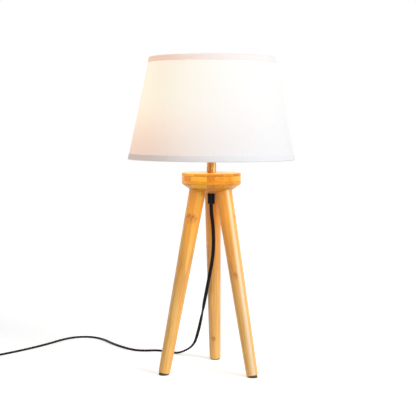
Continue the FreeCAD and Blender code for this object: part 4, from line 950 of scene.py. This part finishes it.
class LAMP_OT_shade(bpy.types.Operator):
    """Roll the shade's cloth, fold its hems and lacquer its wire frame"""

    bl_idname = "lamp.shade"
    bl_label = "Fabric Shade"

    def execute(self, context):
        look = context.scene.lamp_shade
        finish = cloth_finish("shade_cloth", look.low_glow, look.glow, look.glow_strength, True)
        cloth = new_piece("shade_cloth", cloth_cone(finish), finish, "shade", "shade_skin")
        for end, way, share in (("bottom", 1, 0.38), ("top", -1, 0.8)):
            label = "lower_hem_cloth" if way > 0 else "upper_hem_cloth"
            hem = cloth_finish(label, look.hem_glow, look.hem_glow, look.glow_strength * share, False)
            hem_piece(f"shade_rolled_hem_{end}", way, hem, f"shade_hem_{end}")
        lacquer = fine_plastic("white_lacquer", display(236, 234, 228), 0.35, 700, 0.00002)
        dress(lacquer, "shade_spider_frame", "shade_top_wire")
        return {"FINISHED"}


# ---- bulb


class LAMP_OT_bulb(bpy.types.Operator):
    """Make the bulb's threaded cap and its board of light sources, and light its globe"""

    bl_idname = "lamp.bulb"
    bl_label = "Globe Bulb"

    def execute(self, context):
        look = context.scene.lamp_bulb
        constants = {"Roughness": 0.35, "Emission Strength": look.strength}
        opal = Finish("bulb_opal", display(255, 250, 240), constants)
        shine = opal.noise(opal.place(), 30, 1.0)
        neck = (0.376, 0.392)  # heights between which the globe grows brighter
        upper = opal.fade(opal.split(opal.place(), 2), *neck, 0.6, 1.0)
        facing = opal.node("LayerWeight", {"Blend": 0.5}, output="Facing")
        level = upper * opal.fade(shine, 0.3, 0.7, 0.96, 1.0) * opal.fade(facing, 0.4, 0.95, 1.0, 0.03)
        opal.set("Emission Color", opal.mix(level, (0.0, 0.0, 0.0), look.light))
        dress(opal.material, "bulb_globe")
        dress(fine_plastic("bulb_white_plastic", display(240, 240, 236), 0.3, 900), "bulb_housing")
        dress(fine_plastic("board_white", display(236, 236, 228), 0.4, 900), "bulb_led_board")
        nickel = metal("bulb_nickel", display(206, 206, 202), display(170, 168, 160), 0.24, (300, 300, 2000))
        inner, outer, bead = 0.00655, 0.00662, 0.00695
        foot, rim = 0.33445, 0.35345
        corners = [
            (inner, foot, 0.0), (outer, foot, 0.0), (bead, 0.3352, 0.0002), (outer, 0.3358, 0.0),
            (outer, 0.3516, 0.0), (bead, 0.3528, 0.0002), (bead, rim, 0.0), (inner, rim, 0.0),
        ]
        threaded_piece(
            "bulb_threaded_cap", corners, 96, nickel, "bulb", "bulb_screw_cap",
            radius=0.00628, foot=0.3362, height=0.0150, pitch=look.thread_pitch, ridge=0.00066,
        )
        dress(nickel, "bulb_tip_contact")
        glass = fine_plastic("bulb_black_glass", display(14, 14, 18), 0.12, 200, 0.00001)
        dress(glass, "bulb_base_insulator")
        self.light_sources()
        return {"FINISHED"}

    def light_sources(self):
        """A ring of small light sources on the board, as instances in Geometry Nodes."""
        phosphor = fine_plastic("phosphor", display(250, 214, 90), 0.5, 3000)
        steps = Steps("light_sources", Ring=0.0120, Level=0.37405, Width=0.0028, Count=10)
        count, width = steps.given("Count"), steps.given("Width")
        ring = steps.shape("MeshCircle", {"Vertices": count, "Radius": steps.given("Ring")})
        high = 0.0007
        chip = steps.shape("MeshCube", {"Size": steps.vector(width, width, high)})
        angle = steps.shape("InputIndex") * (2 * math.pi) / count
        spread = {"Points": ring, "Instance": chip, "Rotation": steps.vector(z=angle)}
        chips = steps.shape("InstanceOnPoints", spread)
        lift = steps.vector(z=steps.given("Level") + high / 2)
        lifted = steps.shape("Transform", {"Geometry": chips, "Translation": lift})
        new_piece("bulb_light_sources", steps.mesh(lifted, phosphor), phosphor, "bulb")


# ---- switch and plug


class LAMP_OT_switch_and_plug(bpy.types.Operator):
    """Finish the switch on the flex and the flat plug at its end"""

    bl_idname = "lamp.switch_and_plug"
    bl_label = "Switch and Plug"

    def execute(self, context):
        look = context.scene.lamp_finishes
        dress(fine_plastic("switch_plastic", look.plastic, 0.4, 2400), "switch_base", "switch_cover")
        dress(fine_plastic("rocker_plastic", display(20, 20, 20), 0.24, 3000, 0.00001), "switch_rocker")
        dress(fine_plastic("plug_plastic", display(26, 25, 24), 0.46, 2000, 0.00003), "plug_body")
        dress(fine_plastic("sleeve_plastic", display(22, 22, 22), 0.35, 2600), "plug_pin_sleeves")
        nickel = metal("pin_nickel", display(208, 204, 194), display(176, 172, 160), 0.2, (300, 300, 300))
        dress(nickel, "plug_pins", "switch_terminals", "switch_screws")
        return {"FINISHED"}


# ---- stage


def white_studio(ambient):
    """A white backdrop for the camera and in gloss, and a plain level of light on the object."""
    world = bpy.data.worlds.new("studio")
    bpy.context.scene.world = world
    world.use_nodes = True
    studio = Nodes(world.node_tree)
    studio.nodes.clear()
    plain = studio.node("Background", {"Color": (0.99, 0.99, 0.99, 1.0), "Strength": ambient})
    white = studio.node("Background", {"Color": (1.0, 1.0, 1.0, 1.0), "Strength": 1.0})
    both = studio.node("MixShader", {0: studio.seen(), 1: plain, 2: white})
    studio.connect(studio.nodes.new("ShaderNodeOutputWorld").inputs["Surface"], both)


def floor_finish(colour):
    """A pale floor that the camera sees as white, with the object's shadow on it."""
    finish = Finish("floor", colour, {"Roughness": 0.9, "Specular IOR Level": 0.0})
    finish.set("Emission Color", (0.985, 0.995, 1.0, 1.0))
    finish.set("Emission Strength", finish.seen() * 0.48)
    return finish.material


def soft_light(name, turn, rise, spread, strength, colour):
    """A broad light from far off. turn is from the front towards the right."""
    lamp = bpy.data.lights.new(name, "SUN")
    lamp.angle = spread
    lamp.energy = strength
    lamp.color = colour
    holder = placed(name, lamp)
    way = Vector((math.sin(turn) * math.cos(rise), -math.cos(turn) * math.cos(rise), math.sin(rise)))
    holder.rotation_euler = way.to_track_quat("Z", "Y").to_euler()


CAMERA_PLACE = (0.13830, -1.42330, 0.339)
CAMERA_AHEAD = (-0.09946713, 0.99197708, -0.0780241)
CAMERA_TURN = math.radians(5.726)  # about the upright, to the left
CAMERA_ROLL = math.radians(0.25)
FLOOR_REACH = 6.0


class LAMP_OT_stage(bpy.types.Operator):
    """Set up the camera, the floor, the white studio and its two soft lights"""

    bl_idname = "lamp.stage"
    bl_label = "Stage"

    def execute(self, context):
        look = context.scene.lamp_stage
        eye = bpy.data.cameras.new("camera")
        eye.lens, eye.sensor_width = look.lens, 36.0
        eye.clip_start, eye.clip_end = 0.05, 60.0
        camera = placed("camera", eye)
        ahead = Vector(CAMERA_AHEAD)
        level = Vector((math.cos(CAMERA_TURN), math.sin(CAMERA_TURN), 0.0))
        upward = level.cross(ahead)
        right = level * math.cos(CAMERA_ROLL) + upward * math.sin(CAMERA_ROLL)
        over = upward * math.cos(CAMERA_ROLL) - level * math.sin(CAMERA_ROLL)
        facing = Matrix([right, over, -ahead]).transposed().to_4x4()
        camera.matrix_world = Matrix.Translation(CAMERA_PLACE) @ facing
        context.scene.camera = camera

        ground = bpy.data.meshes.new("floor")
        corners = [(x * FLOOR_REACH, y * FLOOR_REACH, 0) for x, y in ((-1, -1), (1, -1), (1, 1), (-1, 1))]
        ground.from_pydata(corners, [], [(0, 1, 2, 3)])
        ground.materials.append(floor_finish(look.floor))
        floor = placed("floor", ground)

        white_studio(look.ambient)
        cool, warm = (0.98, 0.99, 1.0), (1.0, 0.98, 0.95)
        soft_light("key_light", look.key_turn, look.key_rise, look.key_spread, look.key, cool)
        low, narrow, weak = math.radians(8), math.radians(12), look.key * 0.12
        soft_light("strip_light", look.key_turn, low, narrow, weak, warm)
        context.scene.view_settings.view_transform = "Standard"
        return {"FINISHED"}


# ---- panel

GROUPS = {
    "lamp_stage": LampStage,
    "lamp_flex": LampFlex,
    "lamp_bamboo": LampBamboo,
    "lamp_finishes": LampFinishes,
    "lamp_shade": LampShade,
    "lamp_bulb": LampBulb,
}
OPERATORS = (
    LAMP_OT_stage, LAMP_OT_flex, LAMP_OT_stand, LAMP_OT_fittings, LAMP_OT_holder, LAMP_OT_shade,
    LAMP_OT_bulb, LAMP_OT_switch_and_plug,
)


class LAMP_PT_panel(bpy.types.Panel):
    """The lamp's sizes and colours, and one button for each group of pieces"""

    bl_idname = "LAMP_PT_panel"
    bl_label = "Tripod Table Lamp"
    bl_space_type = "VIEW_3D"
    bl_region_type = "UI"
    bl_category = "Lamp"

    def draw(self, context):
        for group, kind in GROUPS.items():
            section = self.layout.box()
            section.label(text=group.removeprefix("lamp_").title())
            for name in kind.__annotations__:
                section.prop(getattr(context.scene, group), name)
        for operator in OPERATORS:
            self.layout.operator(operator.bl_idname)


def register():
    for kind in (*GROUPS.values(), *OPERATORS, LAMP_PT_panel):
        bpy.utils.register_class(kind)
    for group, kind in GROUPS.items():
        setattr(bpy.types.Scene, group, PointerProperty(type=kind))


def unregister():
    for group in GROUPS:
        delattr(bpy.types.Scene, group)
    for kind in (LAMP_PT_panel, *reversed(OPERATORS), *reversed(GROUPS.values())):
        bpy.utils.unregister_class(kind)


def main():
    register()
    for operator in OPERATORS:
        getattr(bpy.ops.lamp, operator.bl_idname.removeprefix("lamp."))()


if __name__ == "__main__":
    main()
